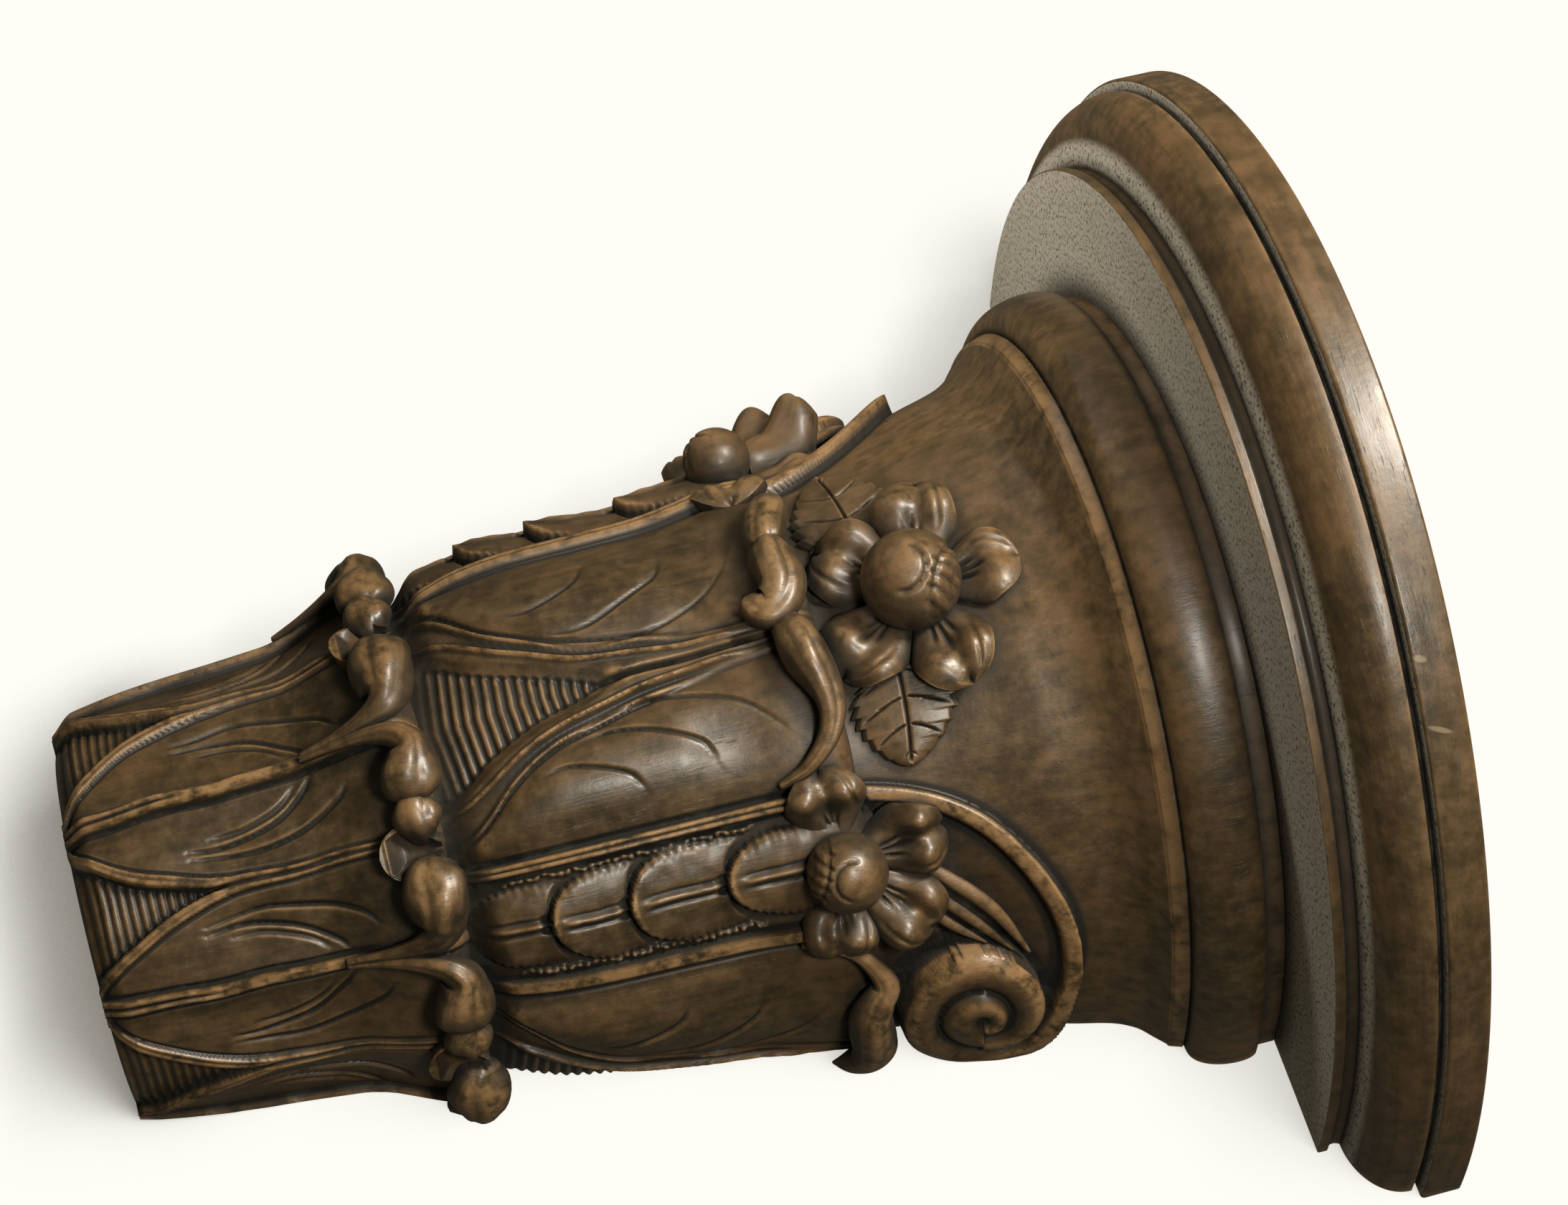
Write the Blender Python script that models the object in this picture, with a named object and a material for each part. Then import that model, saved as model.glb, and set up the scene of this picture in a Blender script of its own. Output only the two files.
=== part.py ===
# Carved wooden corbel bracket: a half-round shelf board on a deep moulding, over a
# half-round capital with two tiers of leaves, two scrolls and three flowers.
# Metres, +Z up. X is to the right seen from the front, the wall is the plane Y = 0,
# and the origin is in the middle of the flat back, halfway up the bracket.
import math

import bmesh
import bpy
import numpy as np
from mathutils import Matrix, Vector

# Main sizes: the heights are shares of the one and the half widths are shares of the other
HEIGHT = 0.4200
HALF_WIDTH = 0.2083
# Plan: how much deeper the half-round stands out from the wall than it is wide to one side
DEPTH_RATIO = 1.131
JOINT_GAP = 0.0003
HAIR = 0.0001

# Heights of the carved capital, from the foot up
LOWER_TIER = 0.29405 * HEIGHT
UPPER_TIER = 0.31548 * HEIGHT
BELL_HEIGHT = 0.20571 * HEIGHT
COLLAR_FILLET = 0.01286 * HEIGHT
ASTRAGAL_HEIGHT = 0.05595 * HEIGHT
NECK_HEIGHT = 0.01548 * HEIGHT
CAPITAL_HEIGHT = LOWER_TIER + UPPER_TIER + BELL_HEIGHT + COLLAR_FILLET + ASTRAGAL_HEIGHT + NECK_HEIGHT
BELL_FOOT = LOWER_TIER + UPPER_TIER

# Shelf and moulding
MOULDING_HEIGHT = 0.06476 * HEIGHT
SHELF_THICKNESS = HEIGHT - CAPITAL_HEIGHT - MOULDING_HEIGHT - 2.0 * JOINT_GAP
SHELF_EASING = 0.0009
MOULDING_FOOT_HALF_WIDTH = 0.8824 * HALF_WIDTH
MOULDING_FILLET = 0.1324 * MOULDING_HEIGHT
MOULDING_COVE_DEPTH = 0.0058 * HALF_WIDTH
MOULDING_COVE_HEIGHT = 0.1654 * MOULDING_HEIGHT
SHELF_OVERHANG = 0.0173 * HALF_WIDTH
QUIRK_DEPTH = 0.0096 * HALF_WIDTH
QUIRK_HEIGHT = 0.0809 * MOULDING_HEIGHT

# Half widths of the ground of the carving, as (share of the stage's height, share of the half width)
LOWER_GROUND = [(0.0, 0.2880), (0.25, 0.3145), (0.50, 0.3313), (0.77, 0.3529), (0.97, 0.3793)]
UPPER_GROUND = [(0.07, 0.4071), (0.16, 0.4273), (0.28, 0.4417), (0.46, 0.4527), (0.62, 0.4633), (0.80, 0.4767)]
BELL_GROUND = [(0.0, 0.4873), (0.22, 0.5041), (0.455, 0.5305), (0.66, 0.5583), (0.83, 0.5780), (0.91, 0.5963),
               (0.96, 0.6183), (1.0, 0.6361)]
# How much fuller the body is in front than at the wall, as (share of the height, share of the half width)
FULLNESS = [(0.0, 0.0600), (0.022, 0.0888), (0.11, 0.0826), (0.29, 0.0648), (0.45, 0.0456), (0.60, 0.0240),
            (0.72, 0.0106), (0.84, 0.0)]
FULLNESS_FALL = 0.6
COLLAR_HALF_WIDTH = 0.6404 * HALF_WIDTH
COLLAR_SPREAD = 0.0072 * HALF_WIDTH
ASTRAGAL_HALF_WIDTH = 0.6961 * HALF_WIDTH
ASTRAGAL_FULLNESS = 0.7
NECK_HALF_WIDTH = 0.6774 * HALF_WIDTH

# Relief of the leaves above that ground, and widths in degrees
RIM_RELIEF = 0.0044
VALLEY_RELIEF = 0.0014
MIDRIB_RELIEF = 0.0048
PANEL_RELIEF = 0.0046
BAND_RELIEF = 0.0044
LEAF_FLARE = 0.0080
HOLLOW_DEPTH = 0.0030
RIM_WIDTH = 3.0
EDGE_WIDTH = 0.7
MIDRIB_WIDTH = 1.7
SIDE_VALLEY_WIDTH = 1.6
RIM_APPROACH = 2.2 * RIM_WIDTH
RIM_CREST = 0.35 * RIM_WIDTH

# The two tiers in degrees round the wall's normal
LEAF_PITCH = 45.0
HALF_LEAF = LEAF_PITCH / 2
WALL_ANGLE = 2 * LEAF_PITCH
HUSK_HALF_WIDTH = 9.6
BAND_INNER = 10.7
BAND_OUTER = 14.2
SPANDREL_HALF_WIDTH = 13.5
SPANDREL_TOP = 0.431
LOWER_LEAF_FOOT = 0.22
LOWER_LEAF_SHOULDER = 0.39

# The husk's leaflets, as shares of the upper tier: lowest point and half width in degrees
LEAFLETS = [(-0.08, 8.8), (0.171, 8.6), (0.361, 9.6), (0.621, 7.4)]
LEAFLETS_END = 0.90
LEAFLET_RISE = 0.142
LEAFLET_TIP_RELIEF = 0.0062
LEAFLET_TOP_RELIEF = 0.0030

# Rolled lips: (share of the half leaf from its midrib, foot of the lip in shares of the tier, share of the relief)
LIP_RELIEF = 0.0195
LOWER_LIP = [(0.0, 0.920, 0.708), (0.12, 0.925, 0.718), (0.28, 0.885, 0.779), (0.42, 0.836, 0.985),
             (0.55, 0.850, 0.933), (0.63, 0.878, 0.718), (0.74, 0.862, 0.872), (0.85, 0.872, 0.697),
             (0.93, 0.822, 0.882), (1.0, 0.796, 1.0)]
UPPER_LIP = [(0.0, 0.800, 0.462), (0.10, 0.880, 0.538), (0.22, 0.935, 0.590), (0.36, 0.950, 0.641),
             (0.50, 0.912, 0.795), (0.64, 0.893, 0.872), (0.76, 0.905, 0.769), (0.88, 0.880, 0.692),
             (0.94, 0.838, 0.795), (1.0, 0.812, 0.872)]
LIP_FACE = 0.36

# Hand carving leaves the middle of each tier a few degrees to one side
LOWER_DRIFT = 2.5
UPPER_DRIFT = 5.0

# Scrolls: eye in degrees and share of the bell's height, and their opening in degrees
SCROLL_EYE = (77.0, 0.275)
SCROLL_CORE = 8.68
SCROLL_GROWTH = 0.60
SCROLL_SWEEP = 1.4
SCROLL_TURNS = (0.72, 1.55)
COIL_TURNS = (-0.90, 0.75)
SCROLL_RELIEF = 0.0175
SCROLL_TAIL = 0.20
SCROLL_BAND = 3.26
SCROLL_HUB = -2.1
COIL_THICKNESS = (1.42, 2.63)
SCROLL_SINK = 0.0050
SCROLL_STEPS = 20
COIL_STEPS = 20
SCROLL_ROOT = 0.0040
ARC_PER_DEGREE = 0.00912 * HALF_WIDTH
RISE_PER_DEGREE = 0.0220 * BELL_HEIGHT
LAST_ANGLE = WALL_ANGLE - 0.4

# Flowers: place in degrees and share of the bell's height, ball, and petals as (direction, reach, size)
# and lifts of the ball and the petals as multiples of the ball
MIDDLE_FLOWER = (0.0, 0.42)
SIDE_FLOWER = (46.0, -0.150)
MIDDLE_BALL = 0.0160
SIDE_BALL = 0.0128
MIDDLE_PETALS = [(8, 1.375, 0.94), (80, 1.281, 0.84), (152, 1.406, 0.94), (224, 1.406, 0.97), (296, 1.406, 0.97)]
SIDE_PETALS = [(96, 1.875, 1.02), (46, 2.031, 1.21), (-12, 1.406, 1.02), (168, 1.328, 0.94), (212, 1.172, 0.86)]
MIDDLE_LIFT = (0.5625, 0.25)
SIDE_LIFT = (0.78, 0.78)
PETAL_THICKNESS = 0.0085
LEAF_SPRAY = (18.5, 0.30)
LEAF_SPRAY_SIZE = (1.25, 0.94, 0.28)

# Mesh
PLAIN_STEPS = 48
BALL_SIDES = 12
BALL_RINGS = 8
PETAL_SIDES = 8
PETAL_RINGS = 6


def ease(low, high, value):
    """Runs smoothly from 0 below low to 1 above high."""
    share = np.clip((np.asarray(value, float) - low) / (high - low), 0.0, 1.0)
    return share * share * (3.0 - 2.0 * share)


def through(points, value):
    """A smooth curve through (place, height) points that never overshoots them."""
    x, y = np.array(points, float).T
    run, slope = np.diff(x), np.diff(y) / np.diff(x)
    tangent = np.empty_like(x)
    tangent[0], tangent[-1] = slope[0], slope[-1]
    rising = slope[:-1] * slope[1:] > 0
    mean = 2.0 * slope[:-1] * slope[1:] / np.where(rising, slope[:-1] + slope[1:], 1.0)
    tangent[1:-1] = np.where(rising, mean, 0.0)
    value = np.clip(np.asarray(value, float), x[0], x[-1])
    i = np.clip(np.searchsorted(x, value, side="right") - 1, 0, len(run) - 1)
    t = (value - x[i]) / run[i]
    return (y[i] * (1 + 2 * t) * (1 - t) ** 2 + tangent[i] * run[i] * t * (1 - t) ** 2
            + y[i + 1] * t * t * (3 - 2 * t) + tangent[i + 1] * run[i] * t * t * (t - 1))


def ground_outline():
    """The turned outline under the carving, foot to collar, as (height, half width)."""
    lower = [(share * LOWER_TIER, half * HALF_WIDTH) for share, half in LOWER_GROUND]
    upper = [(LOWER_TIER + share * UPPER_TIER, half * HALF_WIDTH) for share, half in UPPER_GROUND]
    bell = [(BELL_FOOT + share * BELL_HEIGHT, half * HALF_WIDTH) for share, half in BELL_GROUND]
    return lower + upper + bell


def ground(height):
    return through(GROUND_OUTLINE, height)


GROUND_OUTLINE = ground_outline()


def place(azimuth, height, radius):
    """Point of the half-round at an angle round the wall's normal, a height and a half width."""
    turn = math.radians(azimuth)
    fullness = float(through(FULLNESS, height / CAPITAL_HEIGHT)) if height < CAPITAL_HEIGHT else 0.0
    radius = radius + fullness * HALF_WIDTH * max(math.cos(turn), 0.0) ** FULLNESS_FALL
    return (radius * math.sin(turn), -DEPTH_RATIO * radius * math.cos(turn), height - HEIGHT / 2)


def drifted(azimuth, height):
    """Moves the middle of a tier to one side, and leaves the leaves at 45 degrees and the back in place."""
    drift = LOWER_DRIFT + (UPPER_DRIFT - LOWER_DRIFT) * ease(0.90 * LOWER_TIER, 1.06 * LOWER_TIER, height)
    reach = np.clip(1.0 - (np.asarray(azimuth, float) / LEAF_PITCH) ** 2, 0.0, 1.0)
    return azimuth + drift * reach ** 2


def lip(points, share, level):
    """Relief of a rolled lip: a sharp lower edge, a round face, and a fall back to the ground at the top."""
    foot = through([(s, f) for s, f, _ in points], share)
    relief = LIP_RELIEF * through([(s, r) for s, _, r in points], share)
    rise = (level - foot) / (1.0 - foot)
    face = np.sqrt(np.clip(1.0 - (np.clip(rise - LIP_FACE, 0.0, None) / (1.0 - LIP_FACE)) ** 2, 0.0, 1.0))
    swell = 0.72 + 0.28 * np.sin(np.clip(rise / LIP_FACE, 0.0, 1.0) * math.pi / 2)
    return np.where(rise < 0.0, 0.0, relief * swell * face)


def lower_leaf(angle, level):
    """Relief of a lower leaf, from the angle to its midrib and the share of the tier's height."""
    share = angle / HALF_LEAF
    climb = np.clip(level / LOWER_LEAF_SHOULDER, 0.0, 1.0)
    edge = LOWER_LEAF_FOOT + (1.0 - LOWER_LEAF_FOOT) * (1.0 - (1.0 - climb) ** 2)
    rim_width, edge_width = RIM_WIDTH / HALF_LEAF, EDGE_WIDTH / HALF_LEAF
    rim = ease(edge - 2.0 * rim_width, edge - rim_width, share)
    midrib = np.exp(-(angle / MIDRIB_WIDTH) ** 2)
    scoop = HOLLOW_DEPTH * ease(0.55, 0.80, level) * ease(0.08, 0.3, share) * (1.0 - ease(0.8, 0.97, share))
    surface = VALLEY_RELIEF + (RIM_RELIEF - VALLEY_RELIEF) * rim + (MIDRIB_RELIEF - VALLEY_RELIEF) * midrib - scoop
    inside = 1.0 - ease(edge, edge + edge_width, share) * (edge < 0.995)
    flare = LEAF_FLARE * ease(0.62, 0.90, level)
    fall = np.sqrt(np.clip(1.0 - (np.clip(level - 0.9, 0.0, None) / 0.1) ** 2, 0.0, 1.0))
    return np.maximum((surface * inside + flare) * fall, lip(LOWER_LIP, share, level))


def husk(angle, level):
    """Relief of the overlapping leaflets down the middle of an upper leaf."""
    relief = np.full(np.shape(level + angle), LEAFLET_TOP_RELIEF)
    tips = [tip for tip, _ in LEAFLETS[1:]] + [LEAFLETS_END]
    for (tip, half), above in zip(LEAFLETS, tips):
        hem = tip + LEAFLET_RISE * (angle / half) ** 2
        fall = np.clip((level - hem) / (above - tip), 0.0, 1.0)
        crown = (LEAFLET_TIP_RELIEF - LEAFLET_TOP_RELIEF) * (1.0 - fall) * (1.0 - 0.35 * (angle / half) ** 2)
        relief = np.where((level >= hem) & (angle <= half), LEAFLET_TOP_RELIEF + crown, relief)
    return relief


def upper_leaf(angle, level):
    """Relief of an upper leaf, from the angle to its husk and the share of the tier's height."""
    to_side = LEAF_PITCH - angle
    spandrel = SPANDREL_HALF_WIDTH * np.clip(1.0 - level / SPANDREL_TOP, 0.0, 1.0) ** 1.3
    rim_inner = spandrel + RIM_WIDTH + EDGE_WIDTH
    panel = np.clip((angle - BAND_OUTER) / np.maximum(LEAF_PITCH - rim_inner - BAND_OUTER, 4.0), 0.0, 1.0)
    surface = VALLEY_RELIEF + (PANEL_RELIEF - VALLEY_RELIEF) * np.sin(math.pi * panel ** 0.75)
    rim = 1.0 - ease(rim_inner, rim_inner + RIM_WIDTH, to_side)
    surface = surface + (RIM_RELIEF - surface) * rim
    inside = ease(spandrel, spandrel + EDGE_WIDTH, to_side)
    surface = np.where(spandrel > 0.2, surface * inside, surface * (0.35 + 0.65 * ease(0.0, SIDE_VALLEY_WIDTH, to_side)))
    band = (angle > BAND_INNER) & (angle <= BAND_OUTER)
    surface = np.where(band, BAND_RELIEF, surface)
    surface = np.where(angle <= BAND_INNER, husk(angle, level), surface)
    roll = lip(UPPER_LIP, np.clip((angle - BAND_OUTER) / (LEAF_PITCH - BAND_OUTER), 0.0, 1.0), level)
    roll = roll * ease(HUSK_HALF_WIDTH, BAND_OUTER, angle)
    flare = 0.5 * LEAF_FLARE * ease(0.60, 0.95, level)
    fall = np.sqrt(np.clip(1.0 - (np.clip(level - 0.88, 0.0, None) / 0.12) ** 2, 0.0, 1.0))
    return np.maximum((surface + flare) * fall, roll)


def relief(azimuth, height):
    """How far the carving stands out from the ground, from the angle before drift and the height."""
    turn = np.abs(np.asarray(azimuth, float))
    to_lower = np.abs((turn + HALF_LEAF) % LEAF_PITCH - HALF_LEAF)
    to_upper = np.abs(turn - LEAF_PITCH)
    if height <= LOWER_TIER:
        return lower_leaf(to_lower, height / LOWER_TIER)
    if height <= BELL_FOOT:
        return upper_leaf(to_upper, (height - LOWER_TIER) / UPPER_TIER)
    return np.zeros_like(turn)


def leaf_columns(level):
    """Angles of the mesh columns of one lower leaf pitch that follow its midrib, rim and edge."""
    climb = min(level / LOWER_LEAF_SHOULDER, 1.0)
    edge = HALF_LEAF * (LOWER_LEAF_FOOT + (1.0 - LOWER_LEAF_FOOT) * (1.0 - (1.0 - climb) ** 2))
    edge = min(edge, HALF_LEAF - SIDE_VALLEY_WIDTH)
    half = [0.0, 0.36 * edge, 0.60 * edge, max(edge - RIM_APPROACH, 0.75 * edge), edge - RIM_CREST, edge,
            edge + EDGE_WIDTH, HALF_LEAF]
    return half + [LEAF_PITCH - angle for angle in half[-2::-1]]


def lip_columns():
    """Angles of the mesh columns through the lower lips, at their lobes, slits and cups."""
    half = [HALF_LEAF * share for share in (0.0, 0.13, 0.28, 0.42, 0.56, 0.70, 0.86, 1.0)]
    return half + [LEAF_PITCH - angle for angle in half[-2::-1]]


def husk_columns(level):
    """Angles of the mesh columns from the side of an upper leaf to its husk."""
    spandrel = SPANDREL_HALF_WIDTH * max(1.0 - level / SPANDREL_TOP, 0.0) ** 1.3
    rim = spandrel + EDGE_WIDTH
    side = LEAF_PITCH - BAND_OUTER
    inner = rim + RIM_WIDTH
    return [0.0, spandrel + 0.05, rim, rim + 0.6 * RIM_WIDTH, inner + 0.2 * (side - inner), inner + 0.45 * (side - inner),
            inner + 0.7 * (side - inner), side - 0.8, side, LEAF_PITCH - BAND_INNER, LEAF_PITCH - HUSK_HALF_WIDTH,
            LEAF_PITCH - 6.5, LEAF_PITCH - 3.5, LEAF_PITCH - 1.0, LEAF_PITCH]


def upper_lip_columns():
    """Angles of the mesh columns through the upper lips, from the side cup to the husk."""
    side = LEAF_PITCH - BAND_OUTER
    lobes = [side * (1.0 - share) for share in (1.0, 0.93, 0.86, 0.75, 0.63, 0.50, 0.36, 0.22, 0.10, 0.0)]
    return lobes + [side + (LEAF_PITCH - side) * share for share in (0.2, 0.4, 0.6, 0.8, 1.0)]


def plain_columns():
    return [LEAF_PITCH * step / 14 for step in range(15)]


def row_columns(height):
    """Angles of all the mesh columns at a height, from one end of the back to the other."""
    if height <= LOWER_TIER:
        level = height / LOWER_TIER
        blend = float(ease(0.60, 0.78, level))
        sector = [(1 - blend) * a + blend * b for a, b in zip(leaf_columns(level), lip_columns())]
    elif height <= BELL_FOOT:
        level = (height - LOWER_TIER) / UPPER_TIER
        blend = float(ease(0.62, 0.78, level))
        sector = [(1 - blend) * a + blend * b for a, b in zip(husk_columns(level), upper_lip_columns())]
    else:
        blend = float(ease(0.0, 0.15, (height - BELL_FOOT) / BELL_HEIGHT))
        sector = [(1 - blend) * a + blend * b for a, b in zip(upper_lip_columns(), plain_columns())]
    right = sector + [WALL_ANGLE - angle for angle in sector[-2::-1]]
    return [-angle for angle in right[:0:-1]] + right


def half_round(name, rows, material):
    """A solid from rows of points, each from one end of the back round the front to the other."""
    mesh = bpy.data.meshes.new(name)
    solid = bmesh.new()
    rings = [[solid.verts.new(point) for point in row] for row in rows]
    for low, high in zip(rings, rings[1:]):
        for i in range(len(low) - 1):
            solid.faces.new((low[i], low[i + 1], high[i + 1], high[i]))
        solid.faces.new((low[-1], low[0], high[0], high[-1]))
    solid.faces.new(rings[0][::-1])
    solid.faces.new(rings[-1])
    bmesh.ops.recalc_face_normals(solid, faces=solid.faces)
    solid.to_mesh(mesh)
    solid.free()
    return add_object(name, mesh, material)


def add_object(name, mesh, material):
    piece = bpy.data.objects.new(name, mesh)
    piece.data.materials.append(material)
    bpy.context.scene.collection.objects.link(piece)
    mesh.shade_smooth()
    mesh.set_sharp_from_angle(angle=math.radians(35))
    return piece


def turned_rows(outline):
    """Rows of a plain half-round moulding from its outline, as (height, half width)."""
    angles = [WALL_ANGLE * (2.0 * step / PLAIN_STEPS - 1.0) for step in range(PLAIN_STEPS + 1)]
    return [[place(angle, height, radius) for angle in angles] for height, radius in outline]


def shelf_board(material):
    """The plain board on top, with its edges just eased."""
    foot = HEIGHT - SHELF_THICKNESS
    outline = [(foot, HALF_WIDTH - SHELF_EASING), (foot + SHELF_EASING, HALF_WIDTH),
               (HEIGHT - SHELF_EASING, HALF_WIDTH), (HEIGHT, HALF_WIDTH - SHELF_EASING)]
    return half_round("shelf_board", turned_rows(outline), material)


def shelf_moulding(material):
    """Fillet, cove and large ovolo under the board, with a quirk at the joint."""
    foot = CAPITAL_HEIGHT + JOINT_GAP
    top = foot + MOULDING_HEIGHT
    cove = foot + MOULDING_FILLET + MOULDING_COVE_HEIGHT
    widest = HALF_WIDTH - SHELF_OVERHANG
    inner = MOULDING_FOOT_HALF_WIDTH - MOULDING_COVE_DEPTH
    outline = [(foot, MOULDING_FOOT_HALF_WIDTH), (foot + MOULDING_FILLET, MOULDING_FOOT_HALF_WIDTH),
               (foot + MOULDING_FILLET + 2 * HAIR, inner + 2 * HAIR), (cove, inner)]
    shoulder = top - QUIRK_HEIGHT
    for step in range(1, 9):
        turn = math.radians(90.0 * step / 8)
        outline.append((cove + (shoulder - cove) * (1.0 - math.cos(turn)) + 0.5 * HAIR * step,
                        inner + (widest - inner) * math.sin(turn)))
    outline += [(shoulder + 0.5 * QUIRK_HEIGHT, widest - 0.3 * QUIRK_DEPTH), (top, widest - QUIRK_DEPTH)]
    return half_round("shelf_moulding", turned_rows(outline), material)


def capital_body(material):
    """The carved half-round from its foot to the astragal under the moulding."""
    lower = [0.0, 0.07, 0.20, 0.34, 0.50, 0.66, 0.79, 0.82, 0.85, 0.89, 0.93, 0.98]
    upper = [0.03, 0.10, 0.175, 0.26, 0.35, 0.44, 0.53, 0.625, 0.70, 0.77, 0.82, 0.86, 0.90, 0.95, 1.0]
    bell = [0.04, 0.34, 0.64, 0.86, 0.96, 1.0]
    heights = [share * LOWER_TIER for share in lower] + [LOWER_TIER + share * UPPER_TIER for share in upper]
    heights += [BELL_FOOT + share * BELL_HEIGHT for share in bell]
    rows = []
    for height in heights:
        angles = np.array(row_columns(height))
        radii = ground(height) + relief(angles, height)
        rows.append([place(a, height, r) for a, r in zip(drifted(angles, height), radii)])
    collar = BELL_FOOT + BELL_HEIGHT
    torus = collar + COLLAR_FILLET
    outline = [(collar + HAIR, COLLAR_HALF_WIDTH), (torus, COLLAR_HALF_WIDTH + COLLAR_SPREAD)]
    inner = COLLAR_HALF_WIDTH + COLLAR_SPREAD
    for step in range(1, 7):
        turn = math.radians(180.0 * step / 7)
        swell = math.sin(turn) ** ASTRAGAL_FULLNESS
        base = inner + (NECK_HALF_WIDTH - inner) * step / 7
        outline.append((torus + ASTRAGAL_HEIGHT * (1.0 - math.cos(turn)) / 2,
                        base + (ASTRAGAL_HALF_WIDTH - (inner + NECK_HALF_WIDTH) / 2) * swell))
    outline += [(torus + ASTRAGAL_HEIGHT, NECK_HALF_WIDTH), (CAPITAL_HEIGHT, NECK_HALF_WIDTH)]
    for height, radius in outline:
        angles = row_columns(height)
        rows.append([place(angle, height, radius) for angle in angles])
    return half_round("carved_capital", rows, material)


def on_bell(side, azimuth, height, lift):
    """A point over the bell's face on one side (1 right, -1 left), lifted off the ground."""
    angle = float(drifted(side * min(azimuth, LAST_ANGLE), height))
    return Vector(place(angle, height, float(ground(height)) + lift))


def cutter(name, mesh):
    """An operand of the union: it isn't part of the model by itself."""
    piece = bpy.data.objects.new(name, mesh)
    piece.hide_render = True
    piece.display_type = "WIRE"
    CARVINGS.objects.link(piece)
    return piece


def solid_from(name, grid_rows, close_start, close_end):
    """A closed solid from closed loops of points, with a fan over each end."""
    mesh = bpy.data.meshes.new(name)
    solid = bmesh.new()
    loops = [[solid.verts.new(point) for point in row] for row in grid_rows]
    for low, high in zip(loops, loops[1:]):
        for i in range(len(low)):
            j = (i + 1) % len(low)
            solid.faces.new((low[i], low[j], high[j], high[i]))
    for loop, point in ((loops[0], close_start), (loops[-1], close_end)):
        tip = solid.verts.new(point)
        for i in range(len(loop)):
            solid.faces.new((loop[i], loop[(i + 1) % len(loop)], tip))
    bmesh.ops.recalc_face_normals(solid, faces=solid.faces)
    if solid.calc_volume(signed=True) < 0:
        bmesh.ops.reverse_faces(solid, faces=solid.faces)
    solid.to_mesh(mesh)
    solid.free()
    return cutter(name, mesh)


def scroll_radius(turns):
    """Distance of the scroll from its eye in degrees, after a number of turns outwards."""
    return SCROLL_CORE * math.exp(SCROLL_GROWTH * turns + SCROLL_SWEEP * max(turns - 1.0, 0.0) ** 1.5)


def scroll(side):
    """One scroll on the bell: a disc with a raised band along its edge, and a coil wound to its eye."""
    eye_angle, eye_share = SCROLL_EYE
    eye_height = BELL_FOOT + eye_share * BELL_HEIGHT

    def spot(x, z, lift):
        return on_bell(side, eye_angle + x, eye_height + z * RISE_PER_DEGREE, lift)

    def along(turns, inset=0.0):
        radius = scroll_radius(turns) - inset
        turn = 2 * math.pi * turns
        return radius * math.cos(turn), radius * math.sin(turn)

    first, last = SCROLL_TURNS
    steps = [first + (last - first) * step / SCROLL_STEPS for step in range(SCROLL_STEPS + 1)]
    outer = [along(turns) for turns in steps]
    band = [along(turns, SCROLL_BAND) for turns in steps]
    lifts = [SCROLL_RELIEF * (SCROLL_TAIL + (1.0 - SCROLL_TAIL) * (last - t) / (last - first)) for t in steps]
    loops = [[spot(x, z, -SCROLL_ROOT) for x, z in outer],
             [spot(x, z, lift) for (x, z), lift in zip(outer, lifts)],
             [spot(x, z, lift) for (x, z), lift in zip(band, lifts)],
             [spot(0.97 * x, 0.97 * z, lift - SCROLL_SINK) for (x, z), lift in zip(band, lifts)]]
    solid_from(f"scroll_disc_{side}", loops, spot(SCROLL_HUB, 0.0, -SCROLL_ROOT), spot(SCROLL_HUB, 0.0, 0.4 * SCROLL_RELIEF))

    rings = []
    for step in range(COIL_STEPS + 1):
        share = step / COIL_STEPS
        x, z = along(COIL_TURNS[0] + (COIL_TURNS[1] - COIL_TURNS[0]) * share, 0.30 * SCROLL_CORE)
        thick = COIL_THICKNESS[0] + (COIL_THICKNESS[1] - COIL_THICKNESS[0]) * share
        length = math.hypot(x, z)
        ring = []
        for corner in range(6):
            turn = math.radians(60 * corner)
            out = thick * math.cos(turn)
            ring.append(spot(x + x / length * out, z + z / length * out,
                             SCROLL_RELIEF * (0.85 - 0.05 * share) + thick * ARC_PER_DEGREE * math.sin(turn)))
        rings.append(ring)
    ends = [sum(ring, Vector()) / 6 for ring in (rings[0], rings[-1])]
    solid_from(f"scroll_coil_{side}", rings, *ends)


def ellipsoid(name, centre, axes, sides, rings):
    """A ball stretched along three axes given as vectors."""
    mesh = bpy.data.meshes.new(name)
    solid = bmesh.new()
    bmesh.ops.create_uvsphere(solid, u_segments=sides, v_segments=rings, radius=1.0)
    frame = Matrix([(*row, 0.0) for row in zip(*axes)] + [(0.0, 0.0, 0.0, 1.0)])
    bmesh.ops.transform(solid, matrix=Matrix.Translation(centre) @ frame, verts=solid.verts)
    bmesh.ops.recalc_face_normals(solid, faces=solid.faces)
    solid.to_mesh(mesh)
    solid.free()
    return cutter(name, mesh)


def face_frame(side, azimuth, height):
    """Sideways, upwards and outwards unit vectors of the bell's face at a place."""
    across = on_bell(side, azimuth + 0.5, height, 0.0) - on_bell(side, azimuth - 0.5, height, 0.0)
    up = on_bell(side, azimuth, height + 0.001, 0.0) - on_bell(side, azimuth, height - 0.001, 0.0)
    across.normalize()
    up.normalize()
    out = across.cross(up) * side
    out.normalize()
    return across, up, out


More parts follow.
